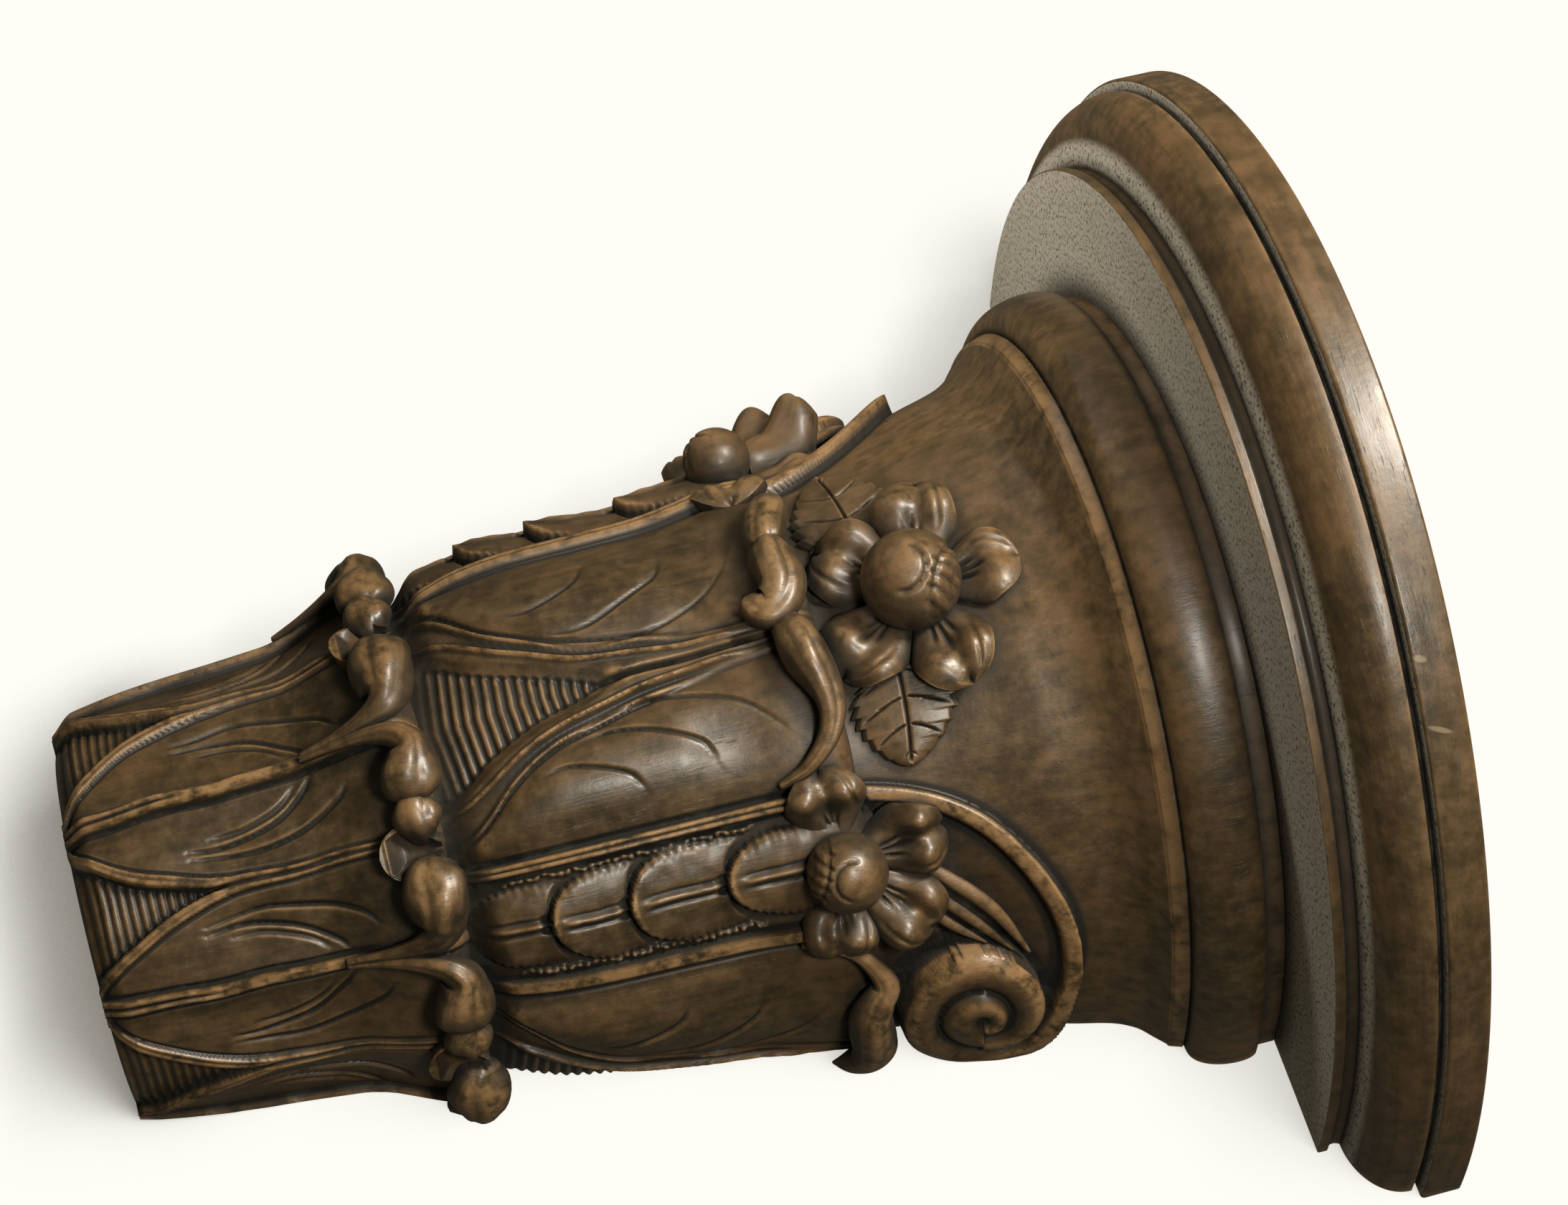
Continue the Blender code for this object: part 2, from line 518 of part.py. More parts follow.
def flower(name, side, where, lifts, ball, petals):
    """A ball in a ring of cupped petals."""
    azimuth, share = where
    height = BELL_FOOT + share * BELL_HEIGHT
    across, up, out = face_frame(side, azimuth, height)
    ball_lift, petal_lift = (lift * ball for lift in lifts)
    seat = on_bell(side, azimuth, height, ball_lift)
    ellipsoid(f"{name}_ball", seat, (across * ball, up * ball, out * ball), BALL_SIDES, BALL_RINGS)
    for number, (angle, reach, size) in enumerate(petals):
        turn, reach, size = math.radians(angle), reach * ball, size * ball
        outward = across * math.cos(turn) + up * math.sin(turn)
        sideways = up * math.cos(turn) - across * math.sin(turn)
        lean = (outward * 0.92 + out * 0.39).normalized()
        spot = on_bell(side, azimuth + reach * math.cos(turn) / ARC_PER_DEGREE, height + reach * math.sin(turn), petal_lift)
        ellipsoid(f"{name}_petal_{number}", spot, (lean * size, sideways * size * 0.97, out * PETAL_THICKNESS),
                  PETAL_SIDES, PETAL_RINGS)


def leaf_spray(side):
    """The low serrated leaf beside the middle flower."""
    azimuth, share = LEAF_SPRAY
    height = BELL_FOOT + share * BELL_HEIGHT
    across, up, out = face_frame(side, azimuth, height)
    length, width, thick = (size * MIDDLE_BALL for size in LEAF_SPRAY_SIZE)
    ellipsoid(f"leaf_spray_{side}", on_bell(side, azimuth, height, 0.0), (across * length, up * width, out * thick), 10, 6)


def wood(name, colour, roughness):
    """Dark stained and waxed walnut."""
    material = bpy.data.materials.new(name)
    material.use_nodes = True
    shader = material.node_tree.nodes["Principled BSDF"]
    shader.inputs["Base Color"].default_value = (*colour, 1.0)
    shader.inputs["Roughness"].default_value = roughness
    shader.inputs["Metallic"].default_value = 0.0
    material.diffuse_color = (*colour, 1.0)
    return material


for leftover in list(bpy.data.objects):
    bpy.data.objects.remove(leftover)
CARVINGS = bpy.data.collections.new("capital_carvings")
bpy.context.scene.collection.children.link(CARVINGS)

shelf_board(wood("shelf_walnut", (0.085, 0.045, 0.026), 0.34))
shelf_moulding(wood("moulding_walnut", (0.075, 0.037, 0.020), 0.36))
capital = capital_body(wood("carved_walnut", (0.070, 0.034, 0.018), 0.40))
for hand in (1, -1):
    scroll(hand)
    leaf_spray(hand)
    flower(f"side_flower_{hand}", hand, SIDE_FLOWER, SIDE_LIFT, SIDE_BALL, SIDE_PETALS)
flower("middle_flower", 1, MIDDLE_FLOWER, MIDDLE_LIFT, MIDDLE_BALL, MIDDLE_PETALS)

union = capital.modifiers.new("carvings", "BOOLEAN")
union.operation = "UNION"
union.solver = "EXACT"
union.operand_type = "COLLECTION"
union.collection = CARVINGS
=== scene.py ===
"""The looks of a carved walnut corbel bracket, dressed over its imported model.

The shelf and its moulding are turned afresh with their arrises eased, and the capital
is carved as fine reliefs over a half-round ground, with rolled lips, cups, petals,
flowers and serrated leaves as meshes of their own.
"""
import logging
import math
from dataclasses import dataclass
from enum import Enum
from typing import Sequence

import bmesh
import bpy
import numpy as np
from mathutils import Matrix, Vector


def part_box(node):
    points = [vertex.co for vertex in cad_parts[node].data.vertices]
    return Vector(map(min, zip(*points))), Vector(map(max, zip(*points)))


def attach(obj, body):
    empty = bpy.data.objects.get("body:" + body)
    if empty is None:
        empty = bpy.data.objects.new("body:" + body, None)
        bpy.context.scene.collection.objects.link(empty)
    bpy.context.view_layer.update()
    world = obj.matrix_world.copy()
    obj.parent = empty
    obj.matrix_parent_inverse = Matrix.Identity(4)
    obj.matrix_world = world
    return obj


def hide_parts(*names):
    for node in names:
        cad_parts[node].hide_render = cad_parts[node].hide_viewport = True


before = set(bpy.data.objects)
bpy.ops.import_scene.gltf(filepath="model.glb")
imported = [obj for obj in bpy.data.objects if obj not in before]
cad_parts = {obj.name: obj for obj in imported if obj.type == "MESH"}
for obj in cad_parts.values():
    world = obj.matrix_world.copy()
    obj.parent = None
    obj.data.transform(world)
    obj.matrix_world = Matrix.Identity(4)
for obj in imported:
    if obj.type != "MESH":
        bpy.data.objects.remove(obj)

log = logging.getLogger("corbel")
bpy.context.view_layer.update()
Array, Socket, Material, Mesh = np.ndarray, bpy.types.NodeSocket, bpy.types.Material, bpy.types.Mesh
DEPTH_RATIO = 1.131
BOARD_HALF_WIDTH = 0.2083
Points = Sequence[Sequence[float]]
Triple = tuple[float, float, float]
Colour = Triple
Shell = tuple[Array, list[tuple[int, ...]]]
Seat = tuple[Array, Array, Array, Array]


# Curves and small helpers

def ease(low: float, high: float, value: Array) -> Array:
    """Run smoothly from 0 below low to 1 above high.

    Args:
        low: Where the rise starts.
        high: Where the rise ends.
        value: The values to map.

    Returns:
        The eased shares.
    """
    share = np.clip((np.asarray(value, float) - low) / (high - low), 0.0, 1.0)
    return share * share * (3.0 - 2.0 * share)


def bump(value: Array, centre: float, width: float) -> Array:
    """A smooth hump of height 1 at centre that has faded at about two widths."""
    return np.exp(-((np.asarray(value, float) - centre) / width) ** 2)


def through(points: Points, value: Array) -> Array:
    """Follow a smooth curve through (place, height) points without overshooting them.

    Args:
        points: The points, in rising order of place.
        value: The places to read the curve at.

    Returns:
        The heights.
    """
    x, y = np.array(points, float).T
    run, slope = np.diff(x), np.diff(y) / np.diff(x)
    tangent = np.empty_like(x)
    tangent[0], tangent[-1] = slope[0], slope[-1]
    rising = slope[:-1] * slope[1:] > 0
    mean = 2.0 * slope[:-1] * slope[1:] / np.where(rising, slope[:-1] + slope[1:], 1.0)
    tangent[1:-1] = np.where(rising, mean, 0.0)
    value = np.clip(np.asarray(value, float), x[0], x[-1])
    i = np.clip(np.searchsorted(x, value, side="right") - 1, 0, len(run) - 1)
    t = (value - x[i]) / run[i]
    return (y[i] * (1 + 2 * t) * (1 - t) ** 2 + tangent[i] * run[i] * t * (1 - t) ** 2
            + y[i + 1] * t * t * (3 - 2 * t) + tangent[i + 1] * run[i] * t * t * (t - 1))


def spline(points: Points, count: int) -> Array:
    """Resample a path of points as a smooth curve.

    Args:
        points: The path, each point with any number of values.
        count: How many points to return.

    Returns:
        An array of count points.
    """
    path = np.array(points, float)
    path = np.vstack([2 * path[0] - path[1], path, 2 * path[-1] - path[-2]])
    place = np.linspace(0.0, len(points) - 1 - 1e-9, count)
    i = place.astype(int)
    t = (place - i)[:, None]
    a, b, c, d = path[i], path[i + 1], path[i + 2], path[i + 3]
    return 0.5 * (2 * b + (c - a) * t + (2 * a - 5 * b + 4 * c - d) * t ** 2
                  + (3 * b - a - 3 * c + d) * t ** 3)


def stroke(x: Array, z: Array, points: Points, count: int = 20) -> tuple[Array, Array]:
    """Measure how far points lie from a curved line.

    Args:
        x, z: Sideways places and heights in millimetres.
        points: The line's (sideways, height) points in millimetres.
        count: How many straight runs stand for the curve.

    Returns:
        The distance, positive on the line's left, and the share along the line.
    """
    path = spline(points, count + 1)
    best = np.full(x.shape, 1e9)
    signed, along = np.full(x.shape, 1e9), np.zeros(x.shape)
    for step, ((ax, az), (bx, bz)) in enumerate(zip(path, path[1:])):
        dx, dz = bx - ax, bz - az
        t = np.clip(((x - ax) * dx + (z - az) * dz) / (dx * dx + dz * dz), 0.0, 1.0)
        gap = np.hypot(x - ax - t * dx, z - az - t * dz)
        side = np.where((x - ax) * dz - (z - az) * dx < 0, 1.0, -1.0)
        nearer = gap < best
        best = np.where(nearer, gap, best)
        signed = np.where(nearer, gap * side, signed)
        along = np.where(nearer, (step + t) / count, along)
    return signed, along


def cut(x: Array, z: Array, points: Points, depth: float, width: float,
        lift: float = 0.0, fade: float = 5.0) -> Array:
    """Engrave one gouge line, tapered at its ends, with the wood swelling up to it on one side.

    Args:
        x, z: Sideways places and heights in millimetres.
        points: The line's points.
        depth: Depth in millimetres.
        width: Half width in millimetres.
        lift: Height of the swelling on the line's left.
        fade: How far the swelling reaches.

    Returns:
        The relief to add, in millimetres.
    """
    gap, along = stroke(x, z, points)
    taper = np.sqrt(np.clip(np.sin(np.pi * np.clip(along, 0.02, 0.98)), 0.0, 1.0))
    groove = -depth * np.exp(-(gap / width) ** 2)
    swell = np.where(gap > 0, lift * (1.0 - np.exp(-(gap / width) ** 2)) * np.exp(-gap / fade), 0.0)
    return (groove + swell) * taper


def wobble(x: Array, z: Array, seed: float, size: float) -> Array:
    """A slow unevenness of hand work, about 1 either way.

    Args:
        x, z: Sideways places and heights in millimetres.
        seed: Tells one pattern from another.
        size: Length of a wave in millimetres.

    Returns:
        The unevenness.
    """
    total = np.zeros(np.broadcast(x, z).shape)
    for number, (across, up) in enumerate(((1.0, 0.35), (-0.55, 1.1), (0.8, -0.9), (0.25, 1.7))):
        phase = seed * (number + 1) * 1.7
        total += np.sin((across * x + up * z) * 2 * math.pi / size + phase)
    return total / 3.0


# The half-round body

@dataclass(frozen=True)
class Body:
    """The half-round that everything is carved on, in metres and degrees round the wall's normal."""

    foot: float
    total: float
    lower_tier: float = 0.1235
    upper_tier: float = 0.1325
    bell: float = 0.0864
    collar_fillet: float = 0.0054
    astragal: float = 0.0235
    neck: float = 0.0065
    fullness_fall: float = 0.6
    lower_drift: float = 2.5
    upper_drift: float = 5.0
    leaf_pitch: float = 45.0

    @property
    def bell_foot(self) -> float:
        """Height of the foot of the bell."""
        return self.lower_tier + self.upper_tier

    @property
    def collar(self) -> float:
        """Height of the top of the bell."""
        return self.bell_foot + self.bell

    @property
    def capital(self) -> float:
        """Height of the capital."""
        return self.collar + self.collar_fillet + self.astragal + self.neck

    def outline(self) -> list[tuple[float, float]]:
        """The turned outline under the carving, as (height, half width)."""
        lower = ((0.0, 0.06), (0.25, 0.0655), (0.5, 0.069), (0.77, 0.0735), (0.97, 0.079))
        upper = ((0.07, 0.0848), (0.16, 0.089), (0.28, 0.092), (0.46, 0.0943), (0.62, 0.0965),
                 (0.8, 0.0993))
        bell = ((0.0, 0.1015), (0.22, 0.105), (0.455, 0.1105), (0.66, 0.1163), (0.83, 0.1204),
                (0.91, 0.1242), (0.96, 0.1288), (1.0, 0.1325))
        return ([(share * self.lower_tier, half) for share, half in lower]
                + [(self.lower_tier + share * self.upper_tier, half) for share, half in upper]
                + [(self.bell_foot + share * self.bell, half) for share, half in bell])

    def ground(self, height: Array) -> Array:
        """Half width of the ground of the carving at a height."""
        return through(self.outline(), height)

    def fullness(self, height: Array) -> Array:
        """How much fuller the body is in front than at the wall, at a height.

        Args:
            height: Metres above the foot.

        Returns:
            Metres to add to the half width in front.
        """
        shares = ((0.0, 0.0125), (0.022, 0.0185), (0.11, 0.0172), (0.29, 0.0135), (0.45, 0.0095),
                  (0.6, 0.005), (0.72, 0.0022), (0.84, 0.0))
        share = np.asarray(height) / self.capital
        return np.where(share < 1.0, through(shares, share), 0.0)

    def drifted(self, azimuth: Array, height: Array) -> Array:
        """Where hand carving really put what was drawn at an angle.

        Args:
            azimuth: Drawn angles in degrees.
            height: Metres above the foot.

        Returns:
            The angles in degrees.
        """
        change = ease(0.9 * self.lower_tier, 1.06 * self.lower_tier, height)
        drift = self.lower_drift + (self.upper_drift - self.lower_drift) * change
        reach = np.clip(1.0 - (np.asarray(azimuth, float) / self.leaf_pitch) ** 2, 0.0, 1.0)
        return azimuth + drift * reach ** 2

    def place(self, azimuth: Array, height: Array, radius: Array) -> Array:
        """Points at angles, heights and half widths, never behind the wall's plane.

        Args:
            azimuth: Degrees round the wall's normal, to the right.
            height: Metres above the foot.
            radius: Half width in metres, before the fullness.

        Returns:
            An array of points.
        """
        turn = np.radians(np.asarray(azimuth, float))
        radius = radius + self.fullness(height) * np.clip(np.cos(turn), 0.0, None) ** self.fullness_fall
        y = np.minimum(-DEPTH_RATIO * radius * np.cos(turn), 0.0)
        z = np.asarray(height, float) + self.foot
        return np.stack(np.broadcast_arrays(radius * np.sin(turn), y, z), axis=-1)

    def on_ground(self, azimuth: Array, height: Array, lift: Array) -> Array:
        """Points over the ground of the carving at drawn angles, lifted in metres."""
        drawn = self.drifted(azimuth, height)
        return self.place(drawn, height, self.ground(height) + lift)


# Meshes

def prominence(relief: Array, reach: int = 7) -> Array:
    """How far each point of a relief stands over its neighbourhood, in millimetres.

    Args:
        relief: Rows of relief in metres.
        reach: How many points the neighbourhood reaches each way.

    Returns:
        The height over the neighbourhood, negative in a cut.
    """
    weights = np.exp(-np.linspace(-1.9, 1.9, 2 * reach + 1) ** 2)
    weights /= weights.sum()
    smooth = np.pad(relief, reach, mode="edge")
    for axis in (0, 1):
        smooth = np.apply_along_axis(np.convolve, axis, smooth, weights, "valid")
    return (relief - smooth) * 1000.0


def handled(mesh: Mesh) -> Array:
    """How much each point of a mesh faces away from the bracket's middle, where hands rub it.

    Args:
        mesh: The mesh.

    Returns:
        About 0.9 where it faces outwards, below 0 where it faces inwards, where the material paints shade.
    """
    normals = np.array([tuple(vertex.normal) for vertex in mesh.vertices])
    points = np.array([tuple(vertex.co) for vertex in mesh.vertices]) * (1.0, 1.3, 0.0)
    points /= np.maximum(np.linalg.norm(points, axis=1), 1e-6)[:, None]
    outward = np.sum(normals * points, axis=1)
    return 0.95 * ease(0.58, 1.0, outward) - 0.38


def placed(name: str, data: bpy.types.ID) -> bpy.types.Object:
    """A new object in the scene.

    Args:
        name: Its name.
        data: Its mesh, light or camera.

    Returns:
        The object.
    """
    thing = bpy.data.objects.new(name, data)
    bpy.context.scene.collection.objects.link(thing)
    return thing


def finish_mesh(mesh: Mesh, material: Material, sharp: float, worn: Array | None = None,
                node: str = "carved_capital") -> None:
    """Make a mesh a piece of the bracket, of the same name.

    Args:
        mesh: The mesh, in the frame of the whole.
        material: Its finish.
        sharp: Angle over which an edge is shaded sharp, in degrees.
        worn: For each point, how far it is rubbed, or below 0 how much it is painted darker, mostly as
            painted shade in cuts and on faces turned inwards.
        node: The CAD node it stands for.
    """
    if worn is not None:
        layer = mesh.attributes.new("worn", "FLOAT", "POINT")
        layer.data.foreach_set("value", worn.ravel().astype(np.float32))
    mesh.materials.append(material)
    mesh.shade_smooth()
    mesh.set_sharp_from_angle(angle=math.radians(sharp))
    piece = placed(mesh.name, mesh)
    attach(piece, "root")
    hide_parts(node)
    log.info("%s: %d faces", piece.name, len(mesh.polygons))


def rounded(name: str, shells: Sequence[Shell], material: Material, share: float = 1.0) -> None:
    """Make one piece of the capital from several shells, rubbed where they face outwards and painted with
    shade where they face inwards.

    Args:
        name: The piece's name.
        shells: Its shells.
        material: The capital's material.
        share: How much of the usual wear and painted shade it has.
    """
    mesh = mesh_from(name, joined(shells))
    finish_mesh(mesh, material, 60.0, share * handled(mesh))


def mesh_from(name: str, shell: Shell) -> Mesh:
    """A mesh from points and faces, with its faces turned outwards.

    Args:
        name: Its name.
        shell: The points and faces.

    Returns:
        The mesh.
    """
    mesh = bpy.data.meshes.new(name)
    mesh.from_pydata(shell[0].tolist(), [], shell[1])
    solid = bmesh.new()
    solid.from_mesh(mesh)
    bmesh.ops.recalc_face_normals(solid, faces=solid.faces)
    if solid.calc_volume(signed=True) < 0:
        bmesh.ops.reverse_faces(solid, faces=solid.faces)
    solid.to_mesh(mesh)
    solid.free()
    return mesh


def woven(index: Array) -> Array:
    """Quads between the rows and columns of a grid of point numbers."""
    corners = [index[:-1, :-1], index[:-1, 1:], index[1:, 1:], index[1:, :-1]]
    return np.stack(corners, axis=-1).reshape(-1, 4)


def closed_grid(grid: Array, inset: float = 0.04) -> Shell:
    """A half-round solid from rows of points, with its back and ends closed.

    Args:
        grid: Points as rows from one end of the back round the front to the other.
        inset: How far in from its edges the back has points of its own, as a share of its width.

    Returns:
        The points and the faces.
    """
    first, last = grid[:, :1], grid[:, -1:]
    across = (first - last) * inset
    grid = np.concatenate([grid, last + across, first - across], axis=1)
    rows, columns = grid.shape[:2]
    index = np.arange(rows * columns).reshape(rows, columns)
    faces = [*map(tuple, woven(np.c_[index, index[:, 0]]).tolist())]
    faces += [tuple(index[0, ::-1].tolist()), tuple(index[-1].tolist())]
    return grid.reshape(-1, 3), faces


def closed_tube(rings: Array, start: Array, end: Array) -> Shell:
    """A tube from closed rings of points, with a fan over each end.

    Args:
        rings: Points as rings round the tube.
        start: The tip before the first ring.
        end: The tip after the last ring.

    Returns:
        The points and the faces.
    """
    count, sides = rings.shape[:2]
    index = np.arange(count * sides).reshape(count, sides)
    index = np.c_[index, index[:, 0]]
    before, after = count * sides, count * sides + 1
    near, far = index[0].tolist(), index[-1].tolist()
    faces = [*map(tuple, woven(index).tolist())]
    faces += [(b, a, before) for a, b in zip(near, near[1:])]
    faces += [(a, b, after) for a, b in zip(far, far[1:])]
    return np.vstack([rings.reshape(-1, 3), start, end]), faces


def swept(path: Array, radii: Array, sides: int, flatten: float, outward: Array,
          ridged: float = 0.0) -> Shell:
    """A round rod along a path, with rounded ends.

    Args:
        path: Points of the centre line.
        radii: The rod's radius at each point.
        sides: Points round the rod.
        flatten: Thickness along outward as a share of the radius.
        outward: Direction away from the ground at each point.
        ridged: Depth of the gouge lines along its outer side, as a share of the radius.

    Returns:
        The points and the faces.
    """
    along = np.gradient(path, axis=0)
    along /= np.linalg.norm(along, axis=1)[:, None]
    across = np.cross(along, outward)
    across /= np.linalg.norm(across, axis=1)[:, None]
    out = np.cross(across, along)
    turn = np.linspace(0.0, 2 * math.pi, sides, endpoint=False)
    ring = across[:, None] * np.cos(turn)[:, None] + out[:, None] * flatten * np.sin(turn)[:, None]
    lines = 1.0 - ridged * (bump(turn, 0.62 * math.pi, 0.17) + 0.5 * bump(turn, 0.34 * math.pi, 0.14))
    winding = 3.0 * turn + 9.0 * np.linspace(0.0, 1.0, len(path))[:, None] + radii[0] * 4000.0
    twist = 1.0 + 0.85 * ridged * np.sin(winding)
    rings = path[:, None] + ring * (radii[:, None] * lines * twist)[..., None]
    start, end = path[0] - along[0] * radii[0] * 0.5, path[-1] + along[-1] * radii[-1] * 0.5
    return closed_tube(rings, start, end)


def joined(shells: Sequence[Shell]) -> Shell:
    """Several shells as one set of points and faces.

    Args:
        shells: The shells.

    Returns:
        The points and the faces.
    """
    faces, start = [], 0
    for points, shell_faces in shells:
        faces += [tuple(corner + start for corner in face) for face in shell_faces]
        start += len(points)
    return np.vstack([points for points, _ in shells]), faces


def leaf_sheet(front: Array, back: Array) -> Shell:
    """A closed sheet between two grids of points.

    Args:
        front: The outer grid.
        back: The inner grid, with as many rows and columns.

    Returns:
        The points and the faces.
    """
    rows, columns = front.shape[:2]
    index = np.arange(rows * columns).reshape(rows, columns)
    behind = index + rows * columns
    rim = np.concatenate([index[0], index[1:, -1], index[-1, -2::-1], index[-2:0:-1, 0]])
    ahead = np.roll(rim, -1)
    wall = np.stack([ahead, rim, rim + rows * columns, ahead + rows * columns], -1)
    quads = np.vstack([woven(index), woven(behind)[:, [0, 3, 2, 1]], wall])
    return np.vstack([front.reshape(-1, 3), back.reshape(-1, 3)]), [*map(tuple, quads.tolist())]


# Finishes

class Value:
    """A shader socket that works in Python expressions, by adding Math nodes."""

    def __init__(self, tree: bpy.types.NodeTree, socket: Socket) -> None:
        """Wrap a socket of a tree."""
        self.tree, self.socket = tree, socket

    def maths(self, operation: str, *others: "Value | float") -> "Value":
        """Add a Math node with this value first.

        Args:
            operation: The node's operation.
            *others: Its other values.

        Returns:
            The node's value.
        """
        return combine(self.tree, operation, self, *others)

    def __add__(self, other: "Value | float") -> "Value":
        """This plus other."""
        return self.maths("ADD", other)

    __radd__ = __add__

    def __mul__(self, other: "Value | float") -> "Value":
        """This times other."""
        return self.maths("MULTIPLY", other)

    __rmul__ = __mul__

    def __sub__(self, other: "Value | float") -> "Value":
        """This minus other."""
        return self.maths("SUBTRACT", other)

    def __rsub__(self, other: "Value | float") -> "Value":
        """Other minus this."""
        return combine(self.tree, "SUBTRACT", other, self)

    def __truediv__(self, other: "Value | float") -> "Value":
        """This over other."""
        return self.maths("DIVIDE", other)

    def __pow__(self, other: "Value | float") -> "Value":
        """This to the power of other."""
        return self.maths("POWER", other)

    def between(self, low: float, high: float) -> "Value":
        """A smooth mask from 0 at low to 1 at high.

        Args:
            low: Where it starts.
            high: Where it ends.

        Returns:
            The mask.
        """
        node = self.tree.nodes.new("ShaderNodeMapRange")
        node.interpolation_type = "SMOOTHSTEP"
        self.tree.links.new(self.socket, node.inputs["Value"])
        node.inputs["From Min"].default_value = low
        node.inputs["From Max"].default_value = high
        return Value(self.tree, node.outputs["Result"])


def combine(tree: bpy.types.NodeTree, operation: str, *values: "Value | float") -> Value:
    """Add a Math node over values and numbers.

    Args:
        tree: The node tree.
        operation: The node's operation.
        *values: Its inputs in order.

    Returns:
        The node's value.
    """
    node = tree.nodes.new("ShaderNodeMath")
    node.operation = operation
    for socket, value in zip(node.inputs, values):
        if isinstance(value, Value):
            tree.links.new(value.socket, socket)
        else:
            socket.default_value = value
    return Value(tree, node.outputs[0])


class Shader:
    """A material under construction."""

    def __init__(self, name: str) -> None:
        """Start a material with a Principled shader."""
        self.material = bpy.data.materials.new(name)
        self.material.use_nodes = True
        self.tree = self.material.node_tree
        self.surface = self.tree.nodes["Principled BSDF"]

    def node(self, kind: str, settings: dict | None = None, inputs: dict | None = None) -> bpy.types.Node:
        """Add a node.

        Args:
            kind: The node's type, without its ShaderNode prefix.
            settings: Its properties.
            inputs: Values, or links from Value or sockets, for its sockets by name or number.

        Returns:
            The node.
        """
        node = self.tree.nodes.new("ShaderNode" + kind)
        for key, value in (settings or {}).items():
            setattr(node, key, value)
        for key, value in (inputs or {}).items():
            self.feed(node.inputs[key], value)
        return node

    def feed(self, socket: Socket, value: object) -> None:
        """Link a value to a socket, or set it there.

        Args:
            socket: The socket.
            value: A Value or a socket to link, or a constant to set.
        """
        if isinstance(value, Value):
            self.tree.links.new(value.socket, socket)
        elif isinstance(value, Socket):
            self.tree.links.new(value, socket)
        else:
            socket.default_value = value

    def value(self, socket: Socket) -> Value:
        """Wrap a socket for expressions."""
        return Value(self.tree, socket)

    def parts(self, vector: Socket) -> list[Value]:
        """The three parts of a vector."""
        return [self.value(socket) for socket in self.node("SeparateXYZ", {}, {"Vector": vector}).outputs]

    def noise(self, vector: Socket, scale: float, detail: float, rough: float) -> Value:
        """A noise texture's value."""
        inputs = {"Vector": vector, "Scale": scale, "Detail": detail, "Roughness": rough}
        return self.value(self.node("TexNoise", {}, inputs).outputs[0])

    def mixed(self, share: "Value | float", low: object, high: object) -> Socket:
        """Mix two colours.

        Args:
            share: How much of the second.
            low: The first colour, or a socket.
            high: The second colour, or a socket.

        Returns:
            The mix.
        """
        node = self.node("Mix", {"data_type": "RGBA"})
        self.feed(node.inputs["Factor"], share)
        for name, colour in (("A", low), ("B", high)):
            sockets = [s for s in node.inputs if s.name == name and s.type == "RGBA"]
            self.feed(sockets[0], (*colour, 1.0) if isinstance(colour, tuple) else colour)
        return [s for s in node.outputs if s.type == "RGBA"][0]


class Grain(Enum):
    """Which way the streaks of the wood run."""

    UPRIGHT = "upright"
    ROUND = "round"


@dataclass(frozen=True)
class Nick:
    """A pale scrape on the board: its direction in degrees, height, half size each way and lean."""

    turn: float
    height: float
    half_width: float
    half_height: float
    lean: float = 0.0

    def strength(self, turn: Value, height: Value) -> Value:
        """How far a point lies in the scrape.

        Args:
            turn: The point's angle round the front, in radians.
            height: Its height.

        Returns:
            1 in the scrape, 0 outside it.
        """
        up = height - self.height
        across = (turn - math.radians(self.turn)) * BOARD_HALF_WIDTH - up * self.lean
        wide, tall = across / self.half_width, up / self.half_height
        return (1.0 - (wide * wide + tall * tall)).between(0.0, 0.8)


